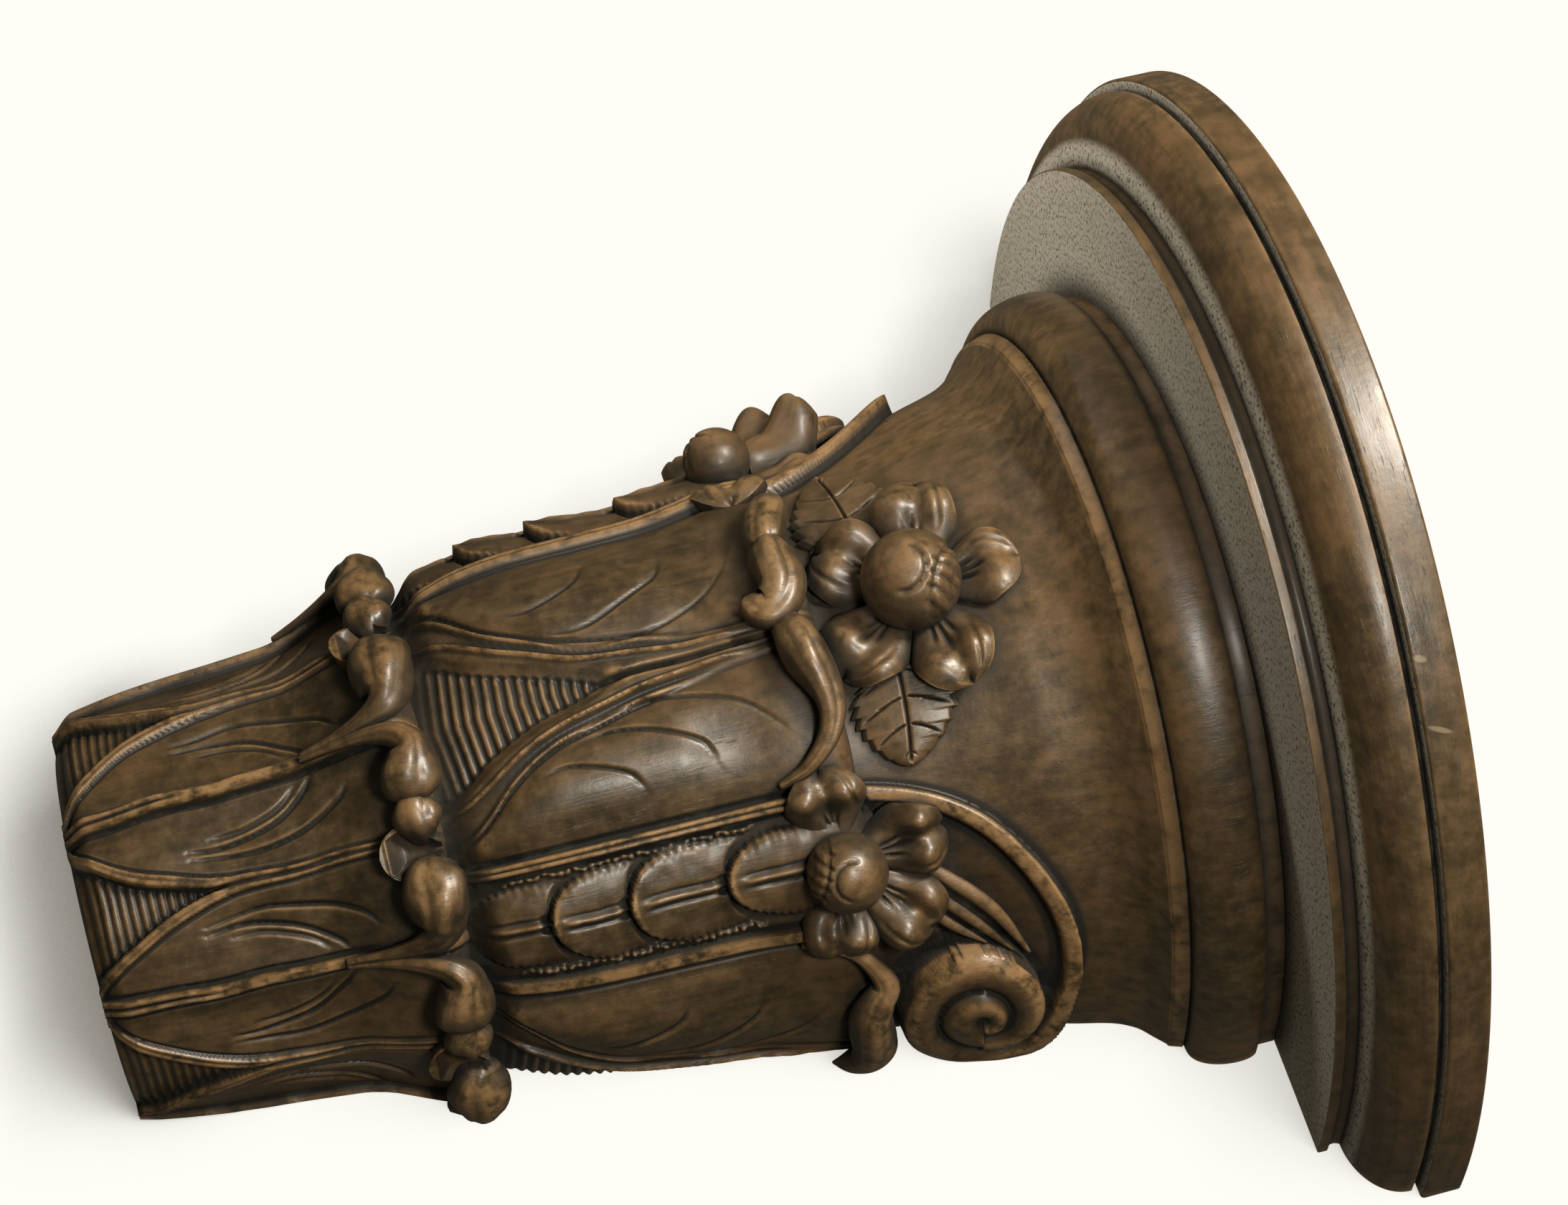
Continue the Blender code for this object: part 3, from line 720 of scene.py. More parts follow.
@dataclass(frozen=True)
class WaxedWalnut:
    """Dark stain and wax over walnut, worn bright on its edges, dusty in its deepest cuts, with shade painted
    near-black into its cuts, creases and recesses.
    """

    name: str
    grain: Grain
    dark: Colour = (0.02, 0.015, 0.0072)
    middle: Colour = (0.092, 0.054, 0.0215)
    worn: Colour = (0.27, 0.156, 0.066)
    blush: Colour = (0.132, 0.064, 0.025)
    bloom: Colour = (0.135, 0.098, 0.064)
    underside: Colour = (0.46, 0.415, 0.335)
    pore_and_shade: Colour = (0.005, 0.0042, 0.0022)
    # Near-black of the pores, also used for the painted shade in cuts, creases and recesses.
    dust: Colour = (0.12, 0.118, 0.078)
    scraped: Colour = (0.3, 0.24, 0.16)
    gloss: float = 0.4
    # Reach in metres of the ambient occlusion that paints shade into recesses.
    shade_reach: float = 0.015
    pored: float = 0.55
    bare: float = 0.0
    nicks: tuple[Nick, ...] = ()

    def material(self) -> Material:
        """Build the node material.

        Returns:
            The material.
        """
        shader = Shader(self.name)
        coords = shader.node("TexCoord").outputs["Object"]
        streaks = self.streaks(shader, coords)
        broad = shader.noise(coords, 17.0, 3.0, 0.6)
        mottle = shader.noise(coords, 95.0, 4.0, 0.65)
        patch = shader.noise(coords, 240.0, 3.0, 0.6)
        grain = shader.noise(streaks, 1.0, 4.0, 0.6)
        fine = shader.noise(streaks, 4.6, 3.0, 0.7)
        pores = fine.between(0.62, 0.74)

        open_sky = shader.node("AmbientOcclusion", {"samples": 8}, {"Distance": self.shade_reach})
        sky = shader.value(open_sky.outputs["AO"])
        shape = shader.node("NewGeometry")
        edge = shader.value(shape.outputs["Pointiness"])
        worn = shader.value(shader.node("Attribute", {"attribute_name": "worn"}).outputs["Fac"])

        tone = (grain * 0.5 + broad * 0.6 + mottle * 0.55 + patch * 0.45 - 0.62).between(0.05, 0.74)
        rubbed = worn.between(0.1, 0.8) * (mottle * 0.8 + patch * 0.75).between(0.56, 0.92) * 0.95
        ridge = edge.between(0.507, 0.56) * mottle.between(0.3, 0.6) * 0.62
        blush = (broad * 0.6 + mottle * 0.5).between(0.5, 0.74) * grain.between(0.36, 0.62) * 0.42
        bloom = (patch * 0.5 + mottle * 0.6).between(0.5, 0.74) * fine.between(0.4, 0.62) * 0.3
        bare = (shader.parts(shape.outputs["Normal"])[2] * -1.0).between(0.93, 0.985) * self.bare
        specks = shader.noise(coords, 750.0, 2.0, 0.6).between(0.3, 0.52)
        unwaxed = shader.mixed(specks, self.middle, self.underside)
        # Painted shade: where ambient occlusion finds surfaces close by, the colour is mixed towards
        # near-black.
        painted_occlusion_shade = 1.0 - sky.between(0.3, 0.97)
        # Painted shade in concave creases (low pointiness) and where the worn attribute is below 0, in cuts
        # and on faces turned inwards; the hatched ground and the leaflets are darkened this way too.
        hollow = (1.0 - edge.between(0.44, 0.497)).maths("MAXIMUM", (worn * -1.0).between(0.06, 0.6))
        settled = (1.0 - sky.between(0.1, 0.55)) * mottle.between(0.47, 0.6) * 0.3
        turn, _, up = self.around(shader, coords)
        layers = [(rubbed.maths("MAXIMUM", ridge), self.worn), (blush, self.blush), (bloom, self.bloom),
                  (bare, unwaxed), (pores * self.pored, self.pore_and_shade), (painted_occlusion_shade * 0.92, self.pore_and_shade),
                  (hollow * 0.88, self.pore_and_shade), (settled, self.dust)]
        layers += [(nick.strength(turn, up) * 0.38, self.scraped) for nick in self.nicks]
        colour = shader.mixed(tone, self.dark, self.middle)
        for share, over in layers:
            colour = shader.mixed(share, colour, over)
        shader.feed(shader.surface.inputs["Base Color"], colour)

        dull = (1.0 - sky.between(0.35, 0.9)) * 0.42
        rough = self.gloss + dull + (mottle - 0.5) * 0.26 + (broad - 0.5) * 0.2 + pores * 0.1
        rough = rough - rubbed * 0.08 + bare * 0.3 + hollow * 0.22
        shader.feed(shader.surface.inputs["Roughness"], rough.maths("MAXIMUM", 0.17))
        height = grain * 0.3 + fine * 0.35 + mottle * 0.6 + patch * 0.42 - pores * 0.6
        relief = shader.node("Bump", {}, {"Strength": 0.42, "Distance": 0.0006, "Height": height})
        shader.feed(shader.surface.inputs["Normal"], relief.outputs["Normal"])
        wax = (("Specular IOR Level", 0.46), ("Coat Weight", 0.14), ("Coat Roughness", 0.24))
        for socket, constant in wax:
            shader.surface.inputs[socket].default_value = constant
        shader.material.diffuse_color = (*self.middle, 1.0)
        return shader.material

    def streaks(self, shader: Shader, coords: Socket) -> Socket:
        """Coordinates stretched along the grain.

        Args:
            shader: The material being built.
            coords: Object coordinates.

        Returns:
            A vector socket, in which the streaks are about a unit apart.
        """
        if self.grain is Grain.UPRIGHT:
            node = shader.node("Mapping", {}, {"Vector": coords, "Scale": (260.0, 260.0, 16.0)})
            return node.outputs["Vector"]
        turn, reach, z = self.around(shader, coords)
        node = shader.node("CombineXYZ", {}, {"X": turn * 3.4, "Y": reach * 240.0, "Z": z * 240.0})
        return node.outputs["Vector"]

    def around(self, shader: Shader, coords: Socket) -> tuple[Value, Value, Value]:
        """A point's angle round the front in radians, distance from the axis, and height."""
        x, y, z = shader.parts(coords)
        return x.maths("ARCTAN2", y * -1.0 / DEPTH_RATIO), (x * x + y * y) ** 0.5, z


# Turned work

@dataclass
class Turned:
    """The plain mouldings: board, shelf moulding, neck and astragal."""

    body: Body
    steps: int = 220
    board_thickness: float = 0.0144
    board_round: float = 0.0014
    joint_gap: float = 0.0003
    moulding_height: float = 0.0272
    moulding_half_width: float = 0.1838
    fillet: float = 0.0036
    cove_depth: float = 0.0012
    cove_height: float = 0.0045
    overhang: float = 0.0036
    quirk_depth: float = 0.002
    quirk_height: float = 0.0022

    def turned(self, outline: list[tuple[float, float]], waves: float = 0.00012) -> Array:
        """Rows of points of an outline of (height, half width) swept round the front.

        Args:
            outline: The outline as (height, half width).
            waves: Height of the unevenness left by the plane, in metres.

        Returns:
            The rows of points.
        """
        angles = np.linspace(-90.0, 90.0, self.steps + 1)
        rows = []
        for height, radius in outline:
            uneven = waves * wobble(angles * 2.6, np.full_like(angles, height * 1000), 3.0, 90.0)
            rows.append(self.body.place(angles, np.full_like(angles, height), radius + uneven))
        return np.array(rows)

    def arc(self, centre: tuple[float, float], radius: float, start: float, end: float,
            steps: int = 6) -> list[tuple[float, float]]:
        """Points of a small round between two directions in degrees, as (height, half width)."""
        turns = np.radians(np.linspace(start, end, steps + 1))
        return [(centre[0] + radius * math.sin(t), centre[1] + radius * math.cos(t)) for t in turns]

    def board(self) -> Array:
        """The board's rows."""
        foot, top = self.body.total - self.board_thickness, self.body.total
        inner = BOARD_HALF_WIDTH - self.board_round
        low = self.arc((foot + self.board_round, inner), self.board_round, -90, 0)
        high = self.arc((top - self.board_round, inner), self.board_round, 0, 90)
        face = [(foot + share * (top - foot), BOARD_HALF_WIDTH) for share in (0.3, 0.5, 0.7)]
        return self.turned(low + face + high)

    def moulding(self) -> Array:
        """The shelf moulding's rows, from the soffit up."""
        foot = self.body.capital + self.joint_gap
        top = foot + self.moulding_height
        half = self.moulding_half_width
        inner, widest = half - self.cove_depth, BOARD_HALF_WIDTH - self.overhang
        cove = foot + self.fillet + self.cove_height
        shoulder = top - self.quirk_height
        outline = [(foot, half - 0.03), (foot, half - 0.012)]
        outline += self.arc((foot + 0.0006, half - 0.0006), 0.0006, -90, 0)
        outline += [(foot + self.fillet - 0.0007, half)]
        outline += self.arc((foot + self.fillet - 0.0004, half - 0.0004), 0.0004, 0, 90, 3)
        hollow = np.linspace(0.0, 1.0, 7)[1:]
        outline += [(foot + self.fillet + 0.0001 + t * (self.cove_height - 0.0001),
                     inner - 0.0007 * math.sin(math.pi * t)) for t in hollow]
        round_steps = 22
        for step in range(1, round_steps + 1):
            turn = math.pi / 2 * step / round_steps
            outline.append((cove + (shoulder - cove) * (1.0 - math.cos(turn)) + 0.00002 * step,
                            inner + (widest - inner) * math.sin(turn)))
        outline += [(shoulder + 0.45 * self.quirk_height, widest - 0.35 * self.quirk_depth),
                    (shoulder + 0.75 * self.quirk_height, widest - 0.85 * self.quirk_depth),
                    (top, widest - self.quirk_depth)]
        return self.turned(outline)

    def neck(self) -> Array:
        """The collar fillet, astragal and neck, from the top of the bell up."""
        body = self.body
        inner, spread, neck_half, widest = 0.1334, 0.0015, 0.1411, 0.145
        torus = body.collar + body.collar_fillet
        outline = [(body.collar - 0.0002, inner - 0.006), (body.collar, inner - 0.0005)]
        outline += [(body.collar + 0.0006, inner), (torus - 0.0007, inner + spread),
                    (torus - 0.0001, inner + spread - 0.0006)]
        steps = 26
        for step in range(1, steps):
            turn = math.pi * step / steps
            base = inner + spread + (neck_half - inner - spread) * step / steps
            outline.append((torus + body.astragal * (1.0 - math.cos(turn)) / 2,
                            base + (widest - (inner + spread + neck_half) / 2) * math.sin(turn) ** 0.7))
        rise = torus + body.astragal
        outline += [(rise, neck_half - 0.0004), (rise + 0.0008, neck_half), (body.capital, neck_half)]
        return self.turned(outline)

    def build(self, board: WaxedWalnut, moulding: WaxedWalnut, carved: Material) -> None:
        """Make the pieces.

        Args:
            board: The board's finish.
            moulding: The moulding's finish.
            carved: The capital's material.
        """
        for name, rows, material, slot, node in (
                ("board", self.board(), board.material(), "shelf_walnut", "shelf_board"),
                ("ovolo_moulding", self.moulding(), moulding.material(), "moulding_walnut", "shelf_moulding"),
                ("neck_and_astragal", self.neck(), carved, "carved_walnut", "carved_capital")):
            finish_mesh(mesh_from(name, closed_grid(rows)), material, 50.0, node=node)


# Carved tiers

def ridges(place: Array, pitch: float, sharpness: float) -> Array:
    """A row of ridges from 0 to 1, at a pitch."""
    return (0.5 + 0.5 * np.cos(2 * np.pi * place / pitch)) ** sharpness


def rolled_under(surface: Array, level: Array, brow: float, reach: float,
                 sink: tuple[float, float]) -> Array:
    """Let the top of a leaf tier roll back into the block.

    Args:
        surface: The tier's relief in millimetres.
        level: Heights as shares of the tier.
        brow: The level where the roll starts.
        reach: How much level the roll takes.
        sink: The levels between which it sinks under the next tier.

    Returns:
        The relief in metres.
    """
    fall = np.sqrt(np.clip(1.0 - (np.clip(level - brow, 0.0, None) / reach) ** 2, 0.0, 1.0))
    return (surface * fall - 3.0 * ease(*sink, level)) / 1000.0


@dataclass
class Tier:
    """A stretch of the capital that is cut as a relief over its ground."""

    body: Body
    columns: int
    rows: int

    def span(self) -> tuple[float, float]:
        """Heights of the foot and the top."""
        raise NotImplementedError

    def relief(self, azimuth: Array, height: Array) -> Array:
        """Relief over the ground in metres, at drawn angles and heights in metres.

        Args:
            azimuth: Drawn angles in degrees.
            height: Metres above the foot.

        Returns:
            The relief in metres.
        """
        raise NotImplementedError

    def worn(self, azimuth: Array, relief: Array) -> Array:
        """How rubbed each point is, or below 0, in cuts, how much shade is painted there."""
        return prominence(relief)

    def carve(self, name: str, material: Material) -> None:
        """Make the piece.

        Args:
            name: The piece's name.
            material: The capital's material.
        """
        angles = np.linspace(-90.0, 90.0, self.columns + 1)
        azimuth, height = np.meshgrid(angles, np.linspace(*self.span(), self.rows + 1))
        relief = self.relief(azimuth, height)
        worn = self.worn(azimuth, relief)
        worn[:, 0] = worn[:, -1] = 0.0
        shell = closed_grid(self.body.on_ground(azimuth, height, relief))
        finish_mesh(mesh_from(name, shell), material, 80.0, np.pad(worn, ((0, 0), (0, 2))))


@dataclass
class LowerTier(Tier):
    """The lower leaves: concave halves either side of a midrib, with hatched ground at their feet."""

    columns: int = 470
    rows: int = 196
    half_leaf: float = 22.5
    arc: float = 1.55
    rim_relief: float = 4.4
    valley_relief: float = 1.2
    midrib_relief: float = 5.0
    flare: float = 8.0
    hatch_pitch: float = 3.15

    def edge(self, height: Array) -> Array:
        """The leaf's half width in degrees, from its height in millimetres."""
        return through(((0.0, 4.6), (2.0, 7.4), (8.4, 11.2), (16.8, 15.0), (25.0, 18.0), (33.6, 20.2),
                        (42.0, 21.7), (49.0, 22.5), (56.0, 24.5)), height)

    def relief(self, azimuth: Array, height: Array) -> Array:
        """Relief over the ground in metres, at drawn angles and heights in metres.

        Args:
            azimuth: Drawn angles in degrees.
            height: Metres above the foot.

        Returns:
            The relief in metres.
        """
        z = height * 1000.0
        turn = azimuth + 0.35 * wobble(azimuth, z, 1.0, 47.0)
        z = z + 0.35 * wobble(azimuth * 1.5, z, 4.0, 38.0) * ease(2.0, 8.0, z)
        angle = np.abs((turn + self.half_leaf) % (2 * self.half_leaf) - self.half_leaf)
        x = angle * self.arc
        edge = self.edge(z)
        gap = (edge - angle) * self.arc
        level = z / (self.body.lower_tier * 1000)

        share = np.clip(angle / np.minimum(edge, self.half_leaf), 0.0, 1.0)
        bowl = 1.0 - (2.0 * np.abs(share - 0.52)) ** 2.2
        hollow = 1.9 * bowl * ease(0.1, 0.45, level)
        surface = self.valley_relief + 2.1 * share ** 1.5 * (1.0 - ease(0.6, 0.9, level)) - hollow
        brink = (np.minimum(edge, self.half_leaf) - angle) * self.arc
        wide = through(((0.0, 4.4), (30.0, 4.2), (46.0, 3.2), (64.0, 2.3), (86.0, 1.7), (120.0, 1.0)), z)
        rim = ease(wide + 0.5, wide - 0.3, brink) * (1.0 - 0.55 * ease(44.0, 84.0, z)) * ease(116.0, 98.0, z)
        surface = surface + (self.rim_relief - surface) * rim
        surface -= 0.75 * bump(brink, wide + 1.0, 0.6) * ease(112.0, 92.0, z)
        surface -= 0.4 * bump(brink, 0.55 * wide, 0.4) * ease(60.0, 40.0, z)
        rib = through(((0.0, 2.9), (20.0, 2.3), (60.0, 1.7), (120.0, 1.5)), z)
        surface += (self.midrib_relief - surface) * ease(rib + 0.55, rib - 0.25, x)
        surface -= 1.3 * bump(x, 0.0, 0.55) * ease(46.0, 26.0, z)
        surface -= 1.15 * bump(x, rib + 1.15, 0.62)
        gouges = ((((4.2, 82.0), (9.5, 77.0), (16.5, 66.0), (20.2, 50.0), (19.6, 38.0)), 2.1),
                  (((11.0, 93.0), (16.0, 88.5), (21.0, 78.0), (24.2, 64.0), (24.6, 54.5), (22.6, 38.5)), 2.1),
                  (((6.0, 76.0), (11.5, 69.0), (15.6, 57.0), (16.4, 46.0)), 1.5))
        for line, depth in gouges:
            surface += cut(x, z, line, depth, 0.85, -0.8, 6.0)
        spandrel = -0.85 * ridges(z, self.hatch_pitch, 1.6)
        inside = ease(-0.75, 0.1, gap)
        surface = spandrel + (surface - spandrel) * inside
        seam = ease(40.0, 48.0, z) * bump(angle, self.half_leaf, 0.55)
        surface -= 1.6 * seam
        flare = self.flare * ease(0.6, 0.88, level) * (1.0 - 0.25 * bowl * ease(0.7, 0.85, level))
        return rolled_under(surface + flare, level, 0.875, 0.1, (0.9, 0.97))

    def span(self) -> tuple[float, float]:
        """Heights of the foot and the top."""
        return 0.0, self.body.lower_tier


@dataclass
class UpperTier(Tier):
    """The upper leaves: bulging panels either side of a husk, with a beaded band between."""

    columns: int = 540
    rows: int = 180
    arc: float = 1.85
    hatch_pitch: float = 3.6
    tuck: float = 0.0062
    husk_middle: float = 45.0

    def spandrel(self, z: Array) -> Array:
        """Half width of the hatched ground in degrees, from millimetres of height."""
        return through(((112.0, 17.5), (122.0, 15.8), (129.0, 13.4), (138.6, 9.4), (155.4, 5.2), (172.0, 2.2),
                        (181.0, 0.0), (190.0, -2.0)), z)

    def husk(self, side: Array, z: Array) -> Array:
        """Relief of the overlapping leaflets.

        Args:
            side: Degrees off the husk's middle.
            z: Heights in millimetres.

        Returns:
            The relief in millimetres.
        """
        relief = np.full(side.shape, 0.9)
        tips = (119.0, 145.8, 171.5, 203.9)
        widths = (8.8, 9.4, 9.8, 8.4)
        reach = np.abs(side) * self.arc
        for tip, width, above in zip(tips, widths, (*tips[1:], 240.0)):
            tooth = np.abs(((z * 0.36) % 1.0) - 0.5)
            climb = (z - tip) / 21.0
            swell = np.sqrt(np.clip(1.0 - np.clip(1.0 - climb, 0.0, 1.0) ** 2.0, 0.0, 1.0))
            inner = (width - 1.3 * tooth * swell) * swell * self.arc - reach
            fall = np.clip((z - tip) / (above - tip + 8.0), 0.0, 1.0)
            crown = 8.8 - 5.6 * fall ** 0.75 - 2.2 * (side / width) ** 2
            crown -= 1.7 * np.exp(-np.clip(inner, 0, None) / 1.5)
            crown += 1.2 * bump(reach, 0.0, 0.85) * ease(0.05, 0.25, fall)
            crown -= 0.9 * bump(reach, 2.1, 0.7) * ease(0.03, 0.25, fall)
            crown += 0.16 * wobble(side * 2.2, z, 7.0, 11.5)
            shade = 2.6 * bump(inner, -1.5, 1.5) * ease(-4.0, -1.0, z - tip)
            relief = np.where(inner > 0, relief + (crown - relief) * ease(0.0, 0.8, inner), relief - shade)
        return relief

    def relief(self, azimuth: Array, height: Array) -> Array:
        """Relief over the ground in metres, at drawn angles and heights in metres.

        Args:
            azimuth: Drawn angles in degrees.
            height: Metres above the foot.

        Returns:
            The relief in metres.
        """
        z = height * 1000.0
        turn = np.abs(azimuth + 0.3 * wobble(azimuth * 1.3, z, 2.0, 53.0))
        z = z + 0.3 * wobble(azimuth * 1.7, z, 5.0, 41.0)
        side = turn - self.husk_middle
        away = self.husk_middle - np.abs(side)
        across = away * self.arc
        level = (height - self.body.lower_tier) / self.body.upper_tier
        spandrel = self.spandrel(z)
        gap = across - spandrel * self.arc

        ridge_a = through(((112.0, 22.0), (129.0, 17.0), (152.0, 9.4), (176.5, 4.7), (204.0, 2.5),
                           (232.0, 1.6)), z)
        ridge_b = through(((112.0, 31.0), (129.0, 24.0), (146.0, 14.8), (164.0, 9.6), (189.0, 6.0),
                           (215.0, 4.2), (240.0, 3.0)), z)
        stretch = np.clip((away - ridge_b) / np.maximum(31.0 - ridge_b, 4.0), 0.0, 1.0)
        surface = 1.6 + 4.6 * np.sin(math.pi * stretch ** 0.85) ** 0.85
        surface -= 3.6 * ease(196.0, 226.0, z) * bump(away, 16.0, 10.5)
        to_a, to_b = (away - ridge_a) * self.arc, (away - ridge_b) * self.arc
        channel = ease(0.6, -0.8, to_b) * ease(-0.6, 0.8, to_a)
        surface += (2.0 - surface) * channel
        for height_mm, gap_to, middle, width, faded, full in (
                (2.9, to_a, 0.0, 1.25, 233.0, 215.0), (1.9, to_b, 0.0, 1.05, 225.0, 190.0),
                (-1.0, to_b, 1.9, 0.65, 218.0, 180.0)):
            surface += height_mm * bump(gap_to, middle, width) * ease(faded, full, z)
        slope = 0.6 + 2.2 * ease(0.0, 5.0, gap)
        surface += (slope - surface) * ease(-0.6, -2.0, to_a)
        gouges = ((((33.0, 233.0), (21.6, 222.6), (15.5, 210.0), (12.6, 199.5), (11.6, 189.0), (13.6, 176.4),
                    (18.6, 163.8), (26.8, 149.0), (36.0, 138.0)), 1.35),
                  (((38.0, 209.0), (31.0, 205.8), (24.6, 195.3), (20.6, 184.8), (19.4, 176.4),
                    (20.6, 167.0)), 1.45),
                  (((42.5, 184.5), (36.2, 180.3), (31.5, 171.0), (29.2, 161.7), (30.4, 154.0)), 1.4))
        for line, depth in gouges:
            surface += cut(across, z, line, depth, 0.7, -0.7, 5.5)
        surface -= (0.3 * ridges(z + 0.55 * across, 1.9, 2) * bump(to_b, -1.9, 1.1)
                    * ease(216.0, 200.0, z) * ease(128.0, 142.0, z))
        hatch = -1.25 * ridges(z - 0.08 * across, self.hatch_pitch, 1.2)
        inside = ease(-0.9, 0.1, gap)
        surface = np.where(spandrel > -1.0, hatch + (surface - hatch) * inside, surface)
        surface -= 3.2 * bump(across, 0.0, 0.95) * ease(174.0, 184.0, z)

        inner = np.abs(np.abs(azimuth) - self.husk_middle)
        surface = surface * ease(14.0, 15.0, inner) + 0.4 * ease(15.0, 14.0, inner)
        surface += (5.4 - surface) * ease(13.7, 12.9, inner) * ease(10.3, 11.0, inner)
        surface -= 0.7 * bump(inner * self.arc, 12.0 * self.arc, 0.5) * ease(0.0, -4.0, side)
        bead = ((z % 2.6) - 1.3) ** 2 + ((inner - 9.2 + 0.5 * wobble(side, z, 4.0, 9.0)) * self.arc) ** 2
        beads = 1.6 + (1.6 * np.sqrt(np.clip(1.0 - bead / 1.55, 0.0, 1.0))
                       * ease(132.0, 135.0, z) * ease(216.0, 212.0, z))
        surface += (np.maximum(beads, self.husk(side, z)) - surface) * ease(10.5, 9.9, inner)
        flare = 4.0 * ease(0.6, 0.92, level)
        start = 0.15 + 0.85 * ease(-0.03, 0.06, level)
        return rolled_under(surface * start + flare, level, 0.86, 0.125, (0.93, 0.99))

    def span(self) -> tuple[float, float]:
        """Heights of the foot, tucked under the lower tier, and the top."""
        return self.body.lower_tier - self.tuck, self.body.bell_foot

    def worn(self, azimuth: Array, relief: Array) -> Array:
        """How rubbed each point is: less on the leaflets; below 0 in cuts it gets painted shade, and the
        hatched ground and the leaflets are painted darker.

        Args:
            azimuth: Drawn angles in degrees.
            relief: The relief in metres.

        Returns:
            The wear, below 0 where it is painted darker.
        """
        leaflets = ease(10.6, 9.8, np.abs(np.abs(azimuth) - self.husk_middle))
        hatched = ease(0.0013, 0.0002, relief)
        return prominence(relief) * (1.0 - 0.4 * leaflets) - 0.2 * leaflets - 0.35 * hatched


@dataclass
class Bell(Tier):
    """The plain bell with a scroll at each side."""

    columns: int = 520
    rows: int = 150
    arc: float = 1.9
    eye: tuple[float, float] = (78.5, 0.666)
    last: float = 1.55
    band: float = 0.0074
    sink: float = 0.006
    bulge: float = 0.0046
    tuck: float = 0.0085

    def spiral(self, turns: Array) -> Array:
        """Distance of the scroll's outer edge from its eye, after a number of turns.

        Args:
            turns: Turns from the eye, less one.

        Returns:
            Metres from the eye.
        """
        return through(((-1.2, 0.0018), (-1.0, 0.006), (-0.6, 0.0105), (-0.35, 0.013), (0.0, 0.016),
                        (0.15, 0.0182), (0.33, 0.0222), (0.5, 0.0258), (0.75, 0.0272), (1.0, 0.028),
                        (1.17, 0.0288), (1.25, 0.031), (1.31, 0.0372), (1.395, 0.0495), (1.44, 0.0585),
                        (1.48, 0.0695), (1.513, 0.0795), (1.56, 0.095)), turns)

    def lift(self, turns: Array) -> Array:
        """How far the scroll stands out from the bell, after a number of turns.

        Args:
            turns: Turns from the eye, less one.

        Returns:
            Metres over the bell.
        """
        return through(((-1.0, 0.015), (0.0, 0.0145), (0.75, 0.0135), (1.0, 0.013), (1.17, 0.0112),
                        (1.3, 0.0086), (1.44, 0.006), (1.56, 0.0036)), turns)

    def relief(self, azimuth: Array, height: Array) -> Array:
        """Relief of the scrolls in metres.

        Args:
            azimuth: Drawn angles in degrees.
            height: Metres above the foot.

        Returns:
            The relief in metres.
        """
        x = (np.abs(azimuth) - self.eye[0]) * self.arc / 1000.0
        z = height - self.eye[1] * self.body.total
        reach = np.hypot(x, z)
        winding = (np.arctan2(z, x) / (2 * math.pi)) % 1.0
        relief = np.zeros(x.shape)
        for turns in (winding - 1.0, winding, winding + 1.0):
            outer = self.spiral(turns)
            inner = np.where(turns - 1.0 < -1.0, 0.0, self.spiral(turns - 1.0))
            shown = (turns <= self.last) & (reach <= outer) & (reach > inner - 1e-9) & (turns > -1.0)
            share = np.clip((reach - inner) / np.maximum(outer - inner, 1e-4), 0.0, 1.0)
            round_coil = self.bulge * np.sin(math.pi * share) ** 0.75 - 0.0022
            from_edge = outer - reach
            rim = 0.001 * np.sin(math.pi * np.clip(from_edge / self.band, 0.0, 1.0)) ** 0.3
            face = rim - self.sink * ease(self.band - 0.0004, self.band + 0.001, from_edge)
            opened = ease(1.02, 1.14, turns)
            relief = np.where(shown, self.lift(turns) + round_coil * (1.0 - opened) + face * opened, relief)
        outermost = np.where(winding < self.last - 1.0, winding + 1.0, winding)
        soft = ease(0.0, 0.0011, self.spiral(outermost) - reach)
        return relief * soft * (self.spiral(outermost) > reach)

    def span(self) -> tuple[float, float]:
        """Heights of the foot, tucked under the upper tier, and the top."""
        return self.body.bell_foot - self.tuck, self.body.collar

    def worn(self, azimuth: Array, relief: Array) -> Array:
        """How rubbed each point is, or below 0, in cuts, how much shade is painted there."""
        return 0.8 * prominence(relief, 9)


# Lips, cups and flowers

